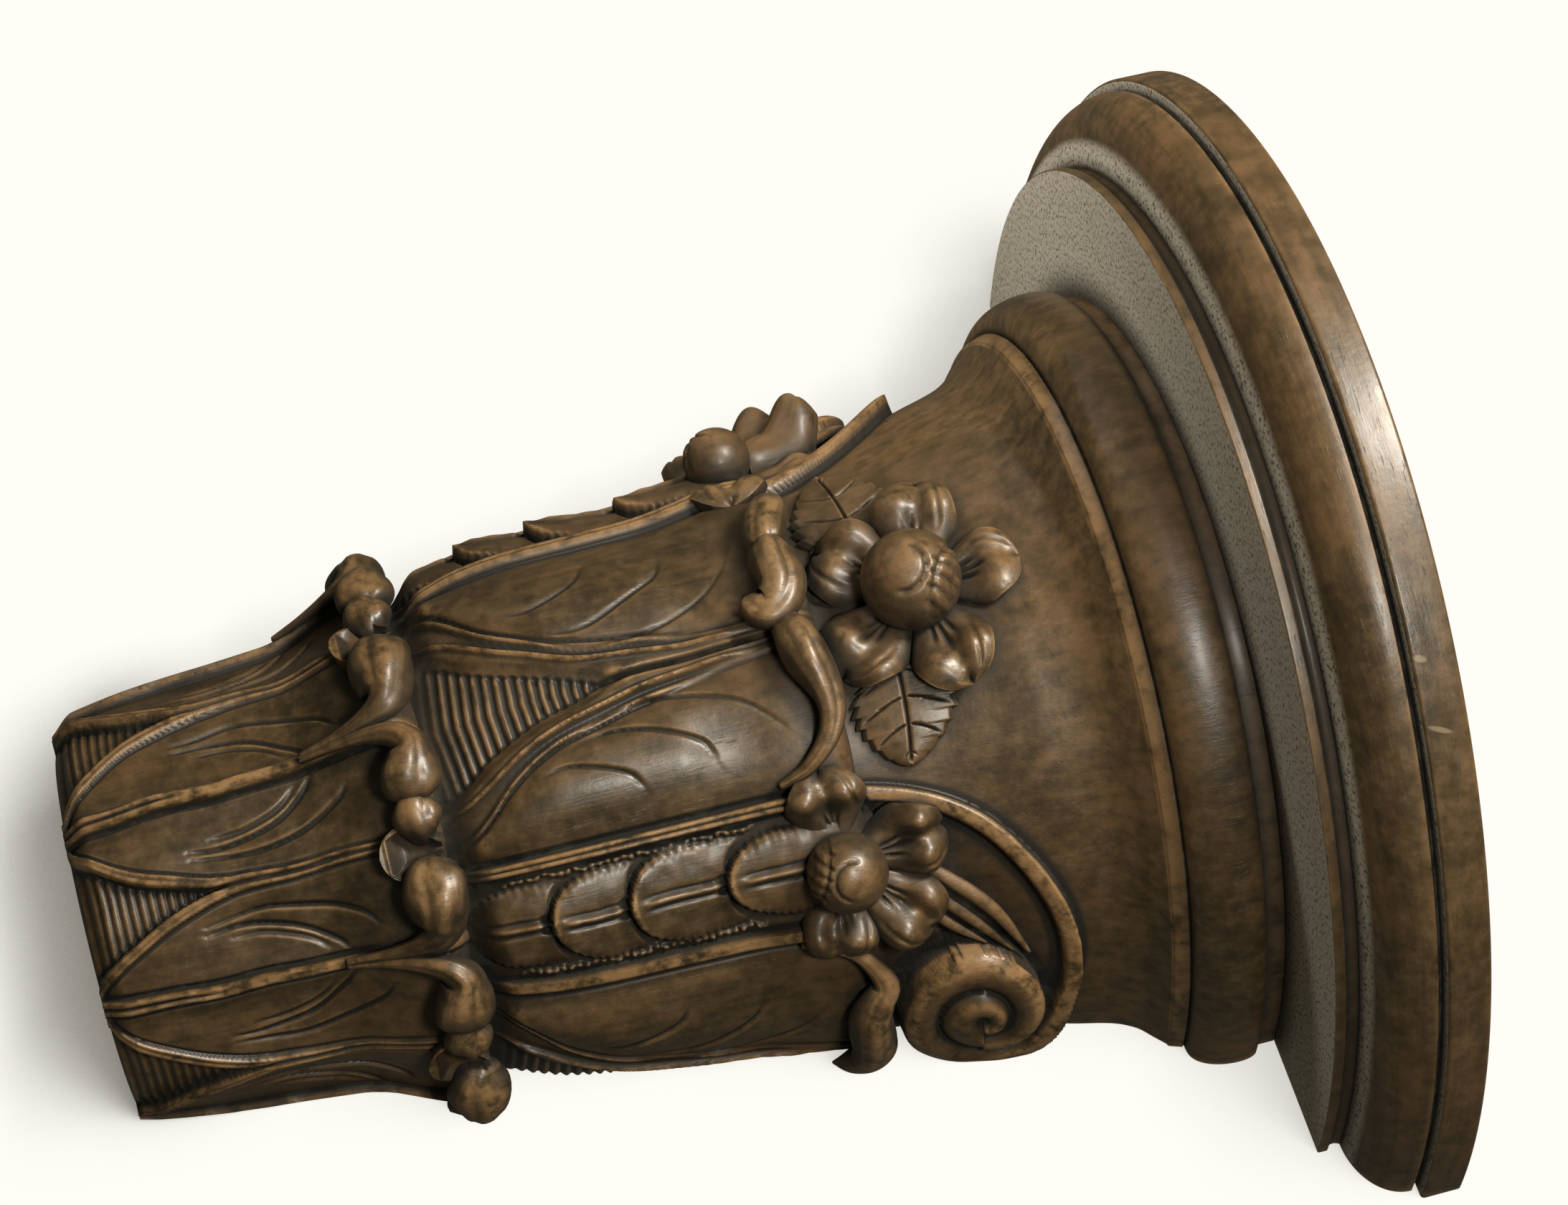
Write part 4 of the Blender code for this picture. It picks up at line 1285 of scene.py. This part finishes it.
@dataclass
class Lips:
    """The rolled tips of the leaves, as round rods over the flare of each leaf."""

    body: Body
    sides: int = 44
    rings: int = 60
    flatten: float = 0.92
    gouged: float = 0.08
    cups: tuple[float, ...] = (-64.2, -19.2, 25.8, 70.8)

    def roll(self, points: Points, middle: float, hand: int) -> Shell:
        """One rolled lip.

        Args:
            points: Its path as (degrees, share of the bracket's height, lift in mm, radius in mm).
            middle: Angle of the leaf's middle, from which the path's degrees count.
            hand: 1 if they count to the right, -1 to the left.

        Returns:
            The points and faces.
        """
        path = spline(points, self.rings)
        height = path[:, 1] * self.body.total
        angle = middle + hand * path[:, 0]
        centre = self.body.on_ground(angle, height, path[:, 2] / 1000.0)
        beyond = self.body.on_ground(angle, height, path[:, 2] / 1000.0 + 0.001)
        outward = beyond - centre
        outward[:, 1] = np.minimum(outward[:, 1], -1e-7)
        outward /= np.linalg.norm(outward, axis=1)[:, None]
        radii = np.clip(path[:, 3], 0.3, None) / 1000.0
        shell, faces = swept(centre, radii, self.sides, self.flatten, outward, self.gouged)
        shell[:, 1] = np.minimum(shell[:, 1], 0.0)
        return shell, faces

    def lower(self) -> list[Shell]:
        """The lips of the lower tier: every hood swells to a ball, and a small lobe fills each joint."""
        hood = ((0.4, 0.19, 6.2, 1.2), (0.8, 0.218, 9.8, 1.8), (1.7, 0.243, 13.0, 2.9),
                (3.2, 0.262, 14.6, 4.3), (5.6, 0.2725, 14.2, 6.2), (8.4, 0.2715, 13.8, 8.6),
                (11.3, 0.2685, 13.2, 9.9), (13.8, 0.2665, 12.2, 8.8), (15.5, 0.266, 11.0, 5.6))
        full = ((0.4, 0.19, 6.2, 1.2), (0.8, 0.218, 9.8, 1.8), (1.6, 0.243, 13.0, 3.0),
                (2.8, 0.259, 14.4, 5.2), (4.6, 0.265, 14.4, 7.6), (7.0, 0.2665, 14.4, 9.6),
                (9.6, 0.2675, 14.0, 10.6), (12.2, 0.268, 13.2, 10.4), (14.6, 0.269, 12.0, 9.0),
                (16.6, 0.271, 10.6, 6.4))
        lobe = ((16.4, 0.269, 10.0, 5.4), (17.8, 0.2675, 11.8, 7.6), (19.8, 0.2665, 11.6, 7.8),
                (21.6, 0.267, 9.6, 6.2), (22.9, 0.269, 7.2, 4.0))
        lips = []
        for middle in (-90.0, -45.0, 0.0, 45.0, 90.0):
            start = 2 if abs(middle) == 90.0 else 0
            if middle < 90.0:
                lips += [self.roll(hood[start:], middle, 1), self.roll(lobe, middle, 1)]
            if middle > -90.0:
                lips.append(self.roll(full[start:], middle, -1))
        return lips

    def upper(self) -> list[Shell]:
        """The lips of the upper tier: one hood hooks round to a disc, and the other meets it."""
        hooked = ((26.0, 0.586, 8.0, 1.2), (24.6, 0.59, 9.6, 2.4), (22.6, 0.5915, 11.0, 4.8),
                  (20.2, 0.589, 12.0, 6.8), (17.6, 0.584, 12.4, 7.5), (14.8, 0.579, 12.4, 7.2),
                  (13.2, 0.578, 11.6, 6.3), (11.2, 0.5785, 12.4, 8.0), (8.6, 0.5795, 12.0, 8.4),
                  (5.9, 0.5795, 11.8, 8.0), (3.6, 0.574, 11.4, 7.6), (2.4, 0.565, 11.0, 7.2),
                  (3.2, 0.557, 10.6, 6.4), (4.6, 0.556, 9.8, 4.6))
        tipped = ((31.3, 0.534, 6.0, 1.4), (28.2, 0.574, 9.0, 2.8), (22.0, 0.593, 11.2, 4.2),
                  (18.8, 0.586, 12.0, 5.8), (15.4, 0.579, 12.4, 7.2), (11.6, 0.5785, 12.4, 7.8),
                  (8.6, 0.5795, 12.0, 7.8), (5.9, 0.5795, 11.8, 7.6), (3.4, 0.574, 11.4, 6.8),
                  (2.2, 0.566, 11.0, 5.4), (1.6, 0.558, 10.4, 3.6), (1.4, 0.548, 9.6, 0.5))
        plain = ((-1.0, 0.569, 8.0, 3.2), (1.4, 0.5745, 11.0, 5.6), (4.6, 0.5795, 12.6, 7.4),
                 (8.2, 0.5825, 13.0, 7.6), (11.8, 0.587, 12.8, 6.4), (15.2, 0.59, 12.4, 5.2),
                 (18.6, 0.5895, 11.8, 4.3), (22.0, 0.584, 11.0, 3.6), (25.0, 0.574, 10.0, 3.0),
                 (27.6, 0.56, 8.6, 2.4), (29.4, 0.54, 6.6, 1.5))
        return [self.roll(plain, -90.0, 1), self.roll(hooked, 0.0, -1), self.roll(plain, 0.0, 1),
                self.roll(tipped, 90.0, -1)]

    def cup(self, azimuth: float, foot: float, top: float, width: float, lifts: Triple) -> Shell:
        """A spout-shaped cup between two lips: a hollow tongue with a rounded rim.

        Args:
            azimuth: Its middle in degrees.
            foot: Its lowest point, as a share of the bracket's height.
            top: Where it starts between the lips.
            width: Half its width in degrees.
            lifts: Lift in millimetres at the top, the middle and the tip.

        Returns:
            The points and faces.
        """
        u, v = np.meshgrid(np.linspace(-1.0, 1.0, 45), np.linspace(0.0, 1.0, 45))
        spread = width * np.clip(1.0 - np.clip((v - 0.45) / 0.55, 0.0, 1.0) ** 2.2, 0.0, 1.0) ** 0.5
        spread = np.maximum(spread, 0.02) * (0.2 + 0.8 * ease(0.0, 0.46, v))
        lift = through(((0.0, lifts[0]), (0.6, lifts[1]), (1.0, lifts[2])), v)
        edge = np.clip(np.maximum(np.abs(u), ease(0.4, 1.0, v)), 0.0, 1.0)
        rim = 5.2 * edge ** 2.2 - 1.7 * ease(0.86, 1.0, edge)
        height = (top + (foot - top) * v) * self.body.total
        front = self.body.on_ground(azimuth + u * spread, height, (lift + rim) / 1000.0)
        tuck = 0.002 * ease(0.5, 1.0, v)
        inside = (lift - 7.0 + rim * 0.4) / 1000.0
        back = self.body.on_ground(azimuth + u * spread * 0.86, height + tuck, inside)
        for grid in (front, back):
            grid[..., 1] = np.minimum(grid[..., 1], 0.0)
        return leaf_sheet(front, back)

    def build(self, material: Material) -> None:
        """Make the pieces.

        Args:
            material: The capital's material.
        """
        cups = [self.cup(azimuth, 0.2315, 0.28, 5.6, (10.5, 10.0, 11.6)) for azimuth in self.cups]
        rounded("lower_lips", self.lower() + cups, material)
        rounded("upper_lips", self.upper(), material)


@dataclass
class Flowers:
    """Three flowers of cupped petals round a ball, two serrated leaves, and the stems in the scrolls."""

    body: Body
    # wear and leaf_wear scale the rubbing and also the shade painted on faces turned inwards.
    wear: float = 0.75
    leaf_wear: float = 0.35
    root: float = 0.007
    sunk: float = 0.002

    def seat(self, azimuth: float, height: float) -> Seat:
        """A place on the bell's face, with its sideways, upwards and outwards directions.

        Args:
            azimuth: Drawn angle in degrees.
            height: Metres above the foot.

        Returns:
            The place and the three directions.
        """
        at = self.body.on_ground
        sides = at(azimuth + 0.5, height, 0.0) - at(azimuth - 0.5, height, 0.0)
        rise = at(azimuth, height + 0.001, 0.0) - at(azimuth, height - 0.001, 0.0)
        across, up = Vector(sides).normalized(), Vector(rise).normalized()
        out = across.cross(up).normalized()
        return at(azimuth, height, 0.0), np.array(across), np.array(up), np.array(out)

    def petal(self, seat: Seat, angle: float, outer: float, width: float, height: float, seed: int) -> Shell:
        """One thick cushion of a petal, gouged near the ball and rolled over at its end.

        Args:
            seat: The flower's place and directions.
            angle: Direction of the petal in degrees.
            outer: Distance of its end from the flower's middle, in metres.
            width: Half its width, in metres.
            height: How far its roll stands over the ground, in metres.
            seed: Tells one petal from the next.

        Returns:
            The points and faces.
        """
        here, across, up, out = seat
        turn = math.radians(angle)
        along = across * math.cos(turn) + up * math.sin(turn)
        side = up * math.cos(turn) - across * math.sin(turn)
        u, v = np.meshgrid(np.linspace(-1.0, 1.0, 47), np.linspace(0.0, 1.0, 41))
        end = np.clip((v - 0.42) / 0.58, 0.0, 1.0)
        half = width * (0.46 + 0.54 * ease(0.0, 0.55, v)) * (1.0 - end ** 2.8) ** 0.45 + 0.0003
        dent = 0.06 * bump(u, 0.15 * math.sin(seed * 2.1), 0.3) * ease(0.7, 1.0, v)
        distance = self.root + (outer - self.root) * (v - dent)
        edge = np.clip(np.sqrt(u ** 2 * (1.0 - end ** 2) + end ** 4), 0.0, 1.0)
        cushion = np.sqrt(np.clip(1.0 - edge ** 3.6, 0.0, 1.0))
        lean = 0.28 * math.sin(seed * 1.9)
        body = 0.52 + 0.48 * bump(v, 0.68, 0.24) * (1.0 - 0.2 * bump(u, lean, 0.35))
        body -= 0.2 * bump(u - lean * 0.8, 0.0, 0.3) * ease(0.3, 0.55, v) * ease(1.0, 0.75, v)
        body += 0.13 * math.sin(seed * 3.7 + 1.0) * u * ease(0.2, 0.7, v)
        lift = height * (0.16 + 0.84 * cushion) * body
        for number in (-1, 0, 1):
            line = (u - 0.22 * number * (0.6 + 0.8 * v) - 0.06 * math.sin(seed + number)) / 0.065
            reach = 0.66 - 0.12 * abs(number)
            # The upper petal of the middle flower is gouged deepest.
            depth = 0.0024 if seed == 1 else 0.0013
            lift -= depth * np.exp(-line ** 2) * ease(reach, reach - 0.2, v) * ease(0.1, 0.3, v)
        curl = (u - 0.62 * math.copysign(1.0, math.sin(seed * 2.3)) + 0.5 * (v - 0.55) ** 2) / 0.07
        lift -= 0.0008 * np.exp(-curl ** 2) * ease(0.35, 0.55, v) * ease(0.98, 0.85, v)
        shift = side * (u * half)[..., None]
        front = here + along * distance[..., None] + shift + out * lift[..., None]
        under = self.root + (distance - self.root) * 0.86
        back = here + along * under[..., None] + shift * 0.82 - out * self.sunk
        return leaf_sheet(front, back)

    def ring(self, seat: Seat, petals: Points, seed: int) -> list[Shell]:
        """A flower's petals.

        Args:
            seat: The flower's place and directions.
            petals: Each petal's angle, outer distance, half width and height.
            seed: Tells one flower's petals from another's.

        Returns:
            The petals' shells.
        """
        return [self.petal(seat, *petal, seed + number) for number, petal in enumerate(petals)]

    def ball(self, seat: Seat, radius: float, lift: float, netted: float) -> Shell:
        """The flower's ball, with a crescent cut and a netted cap.

        Args:
            seat: The flower's place and directions.
            radius: Its radius in metres.
            lift: Height of its middle over the ground, in metres.
            netted: Direction of the netted cap in degrees.

        Returns:
            The points and faces.
        """
        here, across, up, out = seat
        turns = np.linspace(0.0, 2 * math.pi, 96, endpoint=False)
        tilts = np.linspace(0.02, math.pi - 0.03, 72)
        turn, tilt = np.meshgrid(turns, tilts)
        a, b, c = np.sin(tilt) * np.cos(turn), np.sin(tilt) * np.sin(turn), np.cos(tilt)
        toward = math.radians(netted)
        p = a * math.cos(toward) + b * math.sin(toward)
        q = -a * math.sin(toward) + b * math.cos(toward)
        front = ease(-0.15, 0.15, c)
        groove = 0.06 * bump(np.hypot(p, q + 0.1), 0.5, 0.045) * ease(-0.1, 0.2, p) * front
        threads = np.cos(q * 11.0 + 0.8 * p) ** 8 + np.cos((p - 0.1) * 11.0) ** 8
        net = 0.05 * threads * ease(0.52, 0.6, p) * ease(-0.3, 0.0, c)
        reach = radius * (1.0 - groove - net)
        ways = across * a[..., None] + up * b[..., None] + out * c[..., None]
        points = here + out * lift + ways * reach[..., None]
        return closed_tube(points, here + out * (lift + radius), here + out * (lift - radius))

    def spray(self, hand: int) -> Shell:
        """The serrated leaf on one side of the middle flower, with its midrib and veins.

        Args:
            hand: 1 for the right, -1 for the left.

        Returns:
            The points and the faces.
        """
        body = self.body
        u, v = np.meshgrid(np.linspace(-1.0, 1.0, 81), np.linspace(0.0, 1.0, 91))
        tooth = (v * 8.0 - 0.15 * np.abs(u)) % 1.0
        width = 0.0172 * np.sin(math.pi * v ** 0.66) ** 0.62 * (0.9 + 0.13 * tooth) + 0.0003
        height = 0.65 * body.total + u * width - 0.003 * v * v
        angle = hand * (11.5 + 19.5 * (v + 0.035 * np.abs(u)))
        lift = 0.0024 + 0.0018 * (1.0 - u * u) - 0.001 * ease(0.9, 1.0, np.abs(u))
        lift -= 0.0011 * np.exp(-(u * width / 0.0005) ** 2) * ease(1.0, 0.94, v)
        vein = np.abs(((v * 3.6 - 0.62 * np.abs(u) ** 1.5 + 0.3) % 1.0) - 0.5) * 2.0
        ends = ease(0.04, 0.1, np.abs(u)) * ease(0.92, 0.6, np.abs(u)) * ease(0.95, 0.86, v)
        lift -= 0.001 * ease(0.12, 0.02, vein) * ends
        front = body.on_ground(angle, height, lift)
        back = body.on_ground(angle, height, np.full_like(lift, -self.sunk))
        return leaf_sheet(front, back)

    def stems(self, hand: int) -> list[Shell]:
        """Three pointed blades that grow from under a side flower into the scroll.

        Args:
            hand: 1 for the right, -1 for the left.

        Returns:
            The blades' shells.
        """
        blades = []
        share = np.linspace(0.0, 1.0, 28)
        for *points, thick in (((50.0, 0.64), (58.5, 0.682), (67.6, 0.708), 2.3),
                               ((53.0, 0.632), (60.5, 0.668), (67.0, 0.696), 1.9),
                               ((56.0, 0.628), (61.0, 0.652), (65.0, 0.676), 1.7)):
            path = spline(points, len(share))
            angle, height = hand * path[:, 0], path[:, 1] * self.body.total
            centre = self.body.on_ground(angle, height, 0.0044 + 0.0022 * share)
            outward = self.body.on_ground(angle, height, 0.0054 + 0.0022 * share) - centre
            outward /= np.linalg.norm(outward, axis=1)[:, None]
            radius = thick / 1000.0 * np.sin(math.pi * (0.3 + 0.68 * share)) ** 0.8 + 0.0003
            blades.append(swept(centre, radius, 12, 0.75, outward))
        return blades

    def build(self, material: Material) -> None:
        """Make the pieces.

        Args:
            material: The capital's material.
        """
        total = self.body.total
        seat = self.seat(-0.6, 0.683 * total)
        petals = ((12, 0.0385, 0.0142, 0.0095), (90, 0.0355, 0.0132, 0.0075), (165, 0.0395, 0.0142, 0.01),
                  (228, 0.0385, 0.015, 0.011), (302, 0.0385, 0.0152, 0.011))
        ball = self.ball(seat, 0.0166, 0.0118, 60.0)
        rounded("middle_flower", [ball, *self.ring(seat, petals, 0)], material, self.wear)
        for hand, name, azimuth, radius, lift, petals in (
                (1, "right_flower", 45.4, 0.0133, 0.015,
                 ((97, 0.0365, 0.0132, 0.017), (42, 0.0415, 0.0136, 0.016), (350, 0.035, 0.0128, 0.013),
                  (184, 0.033, 0.0138, 0.0125))),
                (-1, "left_flower", -42.6, 0.0118, 0.012,
                 ((86, 0.0365, 0.012, 0.01), (128, 0.045, 0.019, 0.027), (190, 0.035, 0.0128, 0.013),
                  (-4, 0.033, 0.0138, 0.0095)))):
            seat = self.seat(azimuth, 0.575 * total)
            shells = [self.ball(seat, radius, lift, 250.0), *self.ring(seat, petals, 7), *self.stems(hand)]
            rounded(name, shells, material, self.wear)
        rounded("serrated_leaves", [self.spray(1), self.spray(-1)], material, self.leaf_wear)


# Stage

@dataclass(frozen=True)
class Light:
    """A soft square light, placed in metres right, down and ahead of its target as the picture sees it."""

    name: str
    offset: Triple
    size: float
    power: float
    colour: Colour
    target: Vector
    spread: float = 180.0
    glossy: bool = True


@dataclass
class Studio:
    """The pale sheet behind the bracket, the lights and the camera."""

    place: Vector = Vector((0.55875, -1.05754, -0.12068))
    right: Vector = Vector((0.2687, 0.0015, 0.96322))
    down: Vector = Vector((0.81823, 0.52728, -0.22907))
    ahead: Vector = Vector((-0.50823, 0.84969, 0.14045))
    lens: float = 77.35

    def sheet(self) -> None:
        """The pale sheet that the bracket lies on, clear from behind, with the bracket's soft shadow painted
        onto it.
        """
        mesh = bpy.data.meshes.new("pale_sheet")
        reach, behind_wall = 4.0, 0.0008
        corners = ((-1, -1), (1, -1), (1, 1), (-1, 1))
        mesh.from_pydata([(x * reach, behind_wall, z * reach) for x, z in corners], [], [(0, 1, 2, 3)])
        sheet = placed("pale_sheet", mesh)
        shader = Shader("pale_sheet")
        # Painted shadow: ambient occlusion round a normal leaned to the right, stronger by the foot, stands
        # in for the shadow the lamps cast on the sheet.
        lean = shader.node("CombineXYZ", {}, {"X": 0.7, "Y": -0.25, "Z": 0.67})
        inputs = {"Distance": 0.055, "Normal": lean.outputs["Vector"]}
        open_sky = shader.value(shader.node("AmbientOcclusion", {"samples": 16}, inputs).outputs["AO"])
        coords = shader.node("TexCoord").outputs["Object"]
        height = shader.parts(coords)[2]
        by_foot = (height * -1.0).between(0.15, 0.2)
        dark = (1.0 - open_sky) * (by_foot * 0.75 + 0.7)
        # The painted shadow mixes the sheet's glow towards grey.
        shade = shader.mixed((1.0 - dark).between(0.3, 0.95), (0.22, 0.21, 0.18), (1.0, 0.983, 0.922))
        glow = shader.node("Emission", {}, {"Color": shade, "Strength": 1.0})
        clear = shader.node("BsdfTransparent")
        behind = shader.node("NewGeometry").outputs["Backfacing"]
        mix = shader.node("MixShader", {}, {0: behind, 1: glow.outputs[0], 2: clear.outputs[0]})
        output = next(n for n in shader.tree.nodes if n.type == "OUTPUT_MATERIAL")
        shader.feed(output.inputs["Surface"], mix.outputs[0])
        mesh.materials.append(shader.material)
        sheet.visible_diffuse = sheet.visible_glossy = False
        sheet.visible_transmission = sheet.visible_shadow = False

    def shine(self, light: Light) -> None:
        """Add a light.

        Args:
            light: What it is like.
        """
        data = bpy.data.lights.new(light.name, "AREA")
        data.size, data.energy, data.color = light.size, light.power, light.colour
        data.spread = math.radians(light.spread)
        lamp = placed(light.name, data)
        right, down, ahead = light.offset
        lamp.location = light.target + self.right * right + self.down * down + self.ahead * ahead
        lamp.visible_glossy = light.glossy
        lamp.rotation_euler = (light.target - lamp.location).to_track_quat("-Z", "Y").to_euler()

    def build(self) -> None:
        """Make the sheet, lights, sky and camera."""
        self.sheet()
        middle, soffit = Vector((0.0, -0.08, 0.0)), Vector((-0.15, -0.1, 0.168))
        self.shine(Light("lamp", (0.62, -0.64, -0.8), 0.25, 19.0, (1.0, 0.95, 0.84), middle))
        self.shine(Light("room", (0.32, -0.03, -0.98), 0.17, 6.0, (1.0, 0.95, 0.85), middle))
        self.shine(Light("window", (-0.55, -0.55, -0.25), 0.2, 0.42, (1.0, 0.97, 0.9), soffit, 34.0, False))
        world = bpy.data.worlds.new("pale_room")
        world.use_nodes = True
        sky = world.node_tree.nodes["Background"].inputs
        sky["Color"].default_value = (1.0, 0.98, 0.78, 1.0)
        sky["Strength"].default_value = 0.09
        bpy.context.scene.world = world
        data = bpy.data.cameras.new("camera")
        data.lens, data.sensor_width = self.lens, 36.0
        camera = placed("camera", data)
        columns = (self.right, -self.down, -self.ahead, self.place)
        rows = [[column[row] for column in columns] for row in range(3)]
        camera.matrix_world = Matrix(rows + [[0, 0, 0, 1]])
        bpy.context.scene.camera = camera
        bpy.context.scene.view_settings.view_transform = "Standard"


def main() -> None:
    """Build every piece, then the stage."""
    logging.basicConfig(level=logging.INFO, format="%(name)s: %(message)s")
    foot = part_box("carved_capital")[0].z
    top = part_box("shelf_board")[1].z
    body = Body(foot=foot, total=top - foot)
    walnut = WaxedWalnut("carved_walnut", Grain.UPRIGHT).material()
    nicks = (Nick(33.2, 0.1983, 0.0014, 0.0024, 0.35), Nick(39.1, 0.2005, 0.0011, 0.0044, 0.4),
             Nick(11.3, 0.208, 0.0024, 0.0014))
    board = WaxedWalnut("shelf_walnut", Grain.ROUND, bare=0.9, nicks=nicks)
    moulding = WaxedWalnut("moulding_walnut", Grain.ROUND, bare=0.9)
    Turned(body).build(board, moulding, walnut)
    LowerTier(body).carve("lower_leaves", walnut)
    UpperTier(body).carve("upper_leaves", walnut)
    Bell(body).carve("bell_and_scrolls", walnut)
    Lips(body).build(walnut)
    Flowers(body).build(walnut)
    Studio().build()


if __name__ == "__main__":
    main()
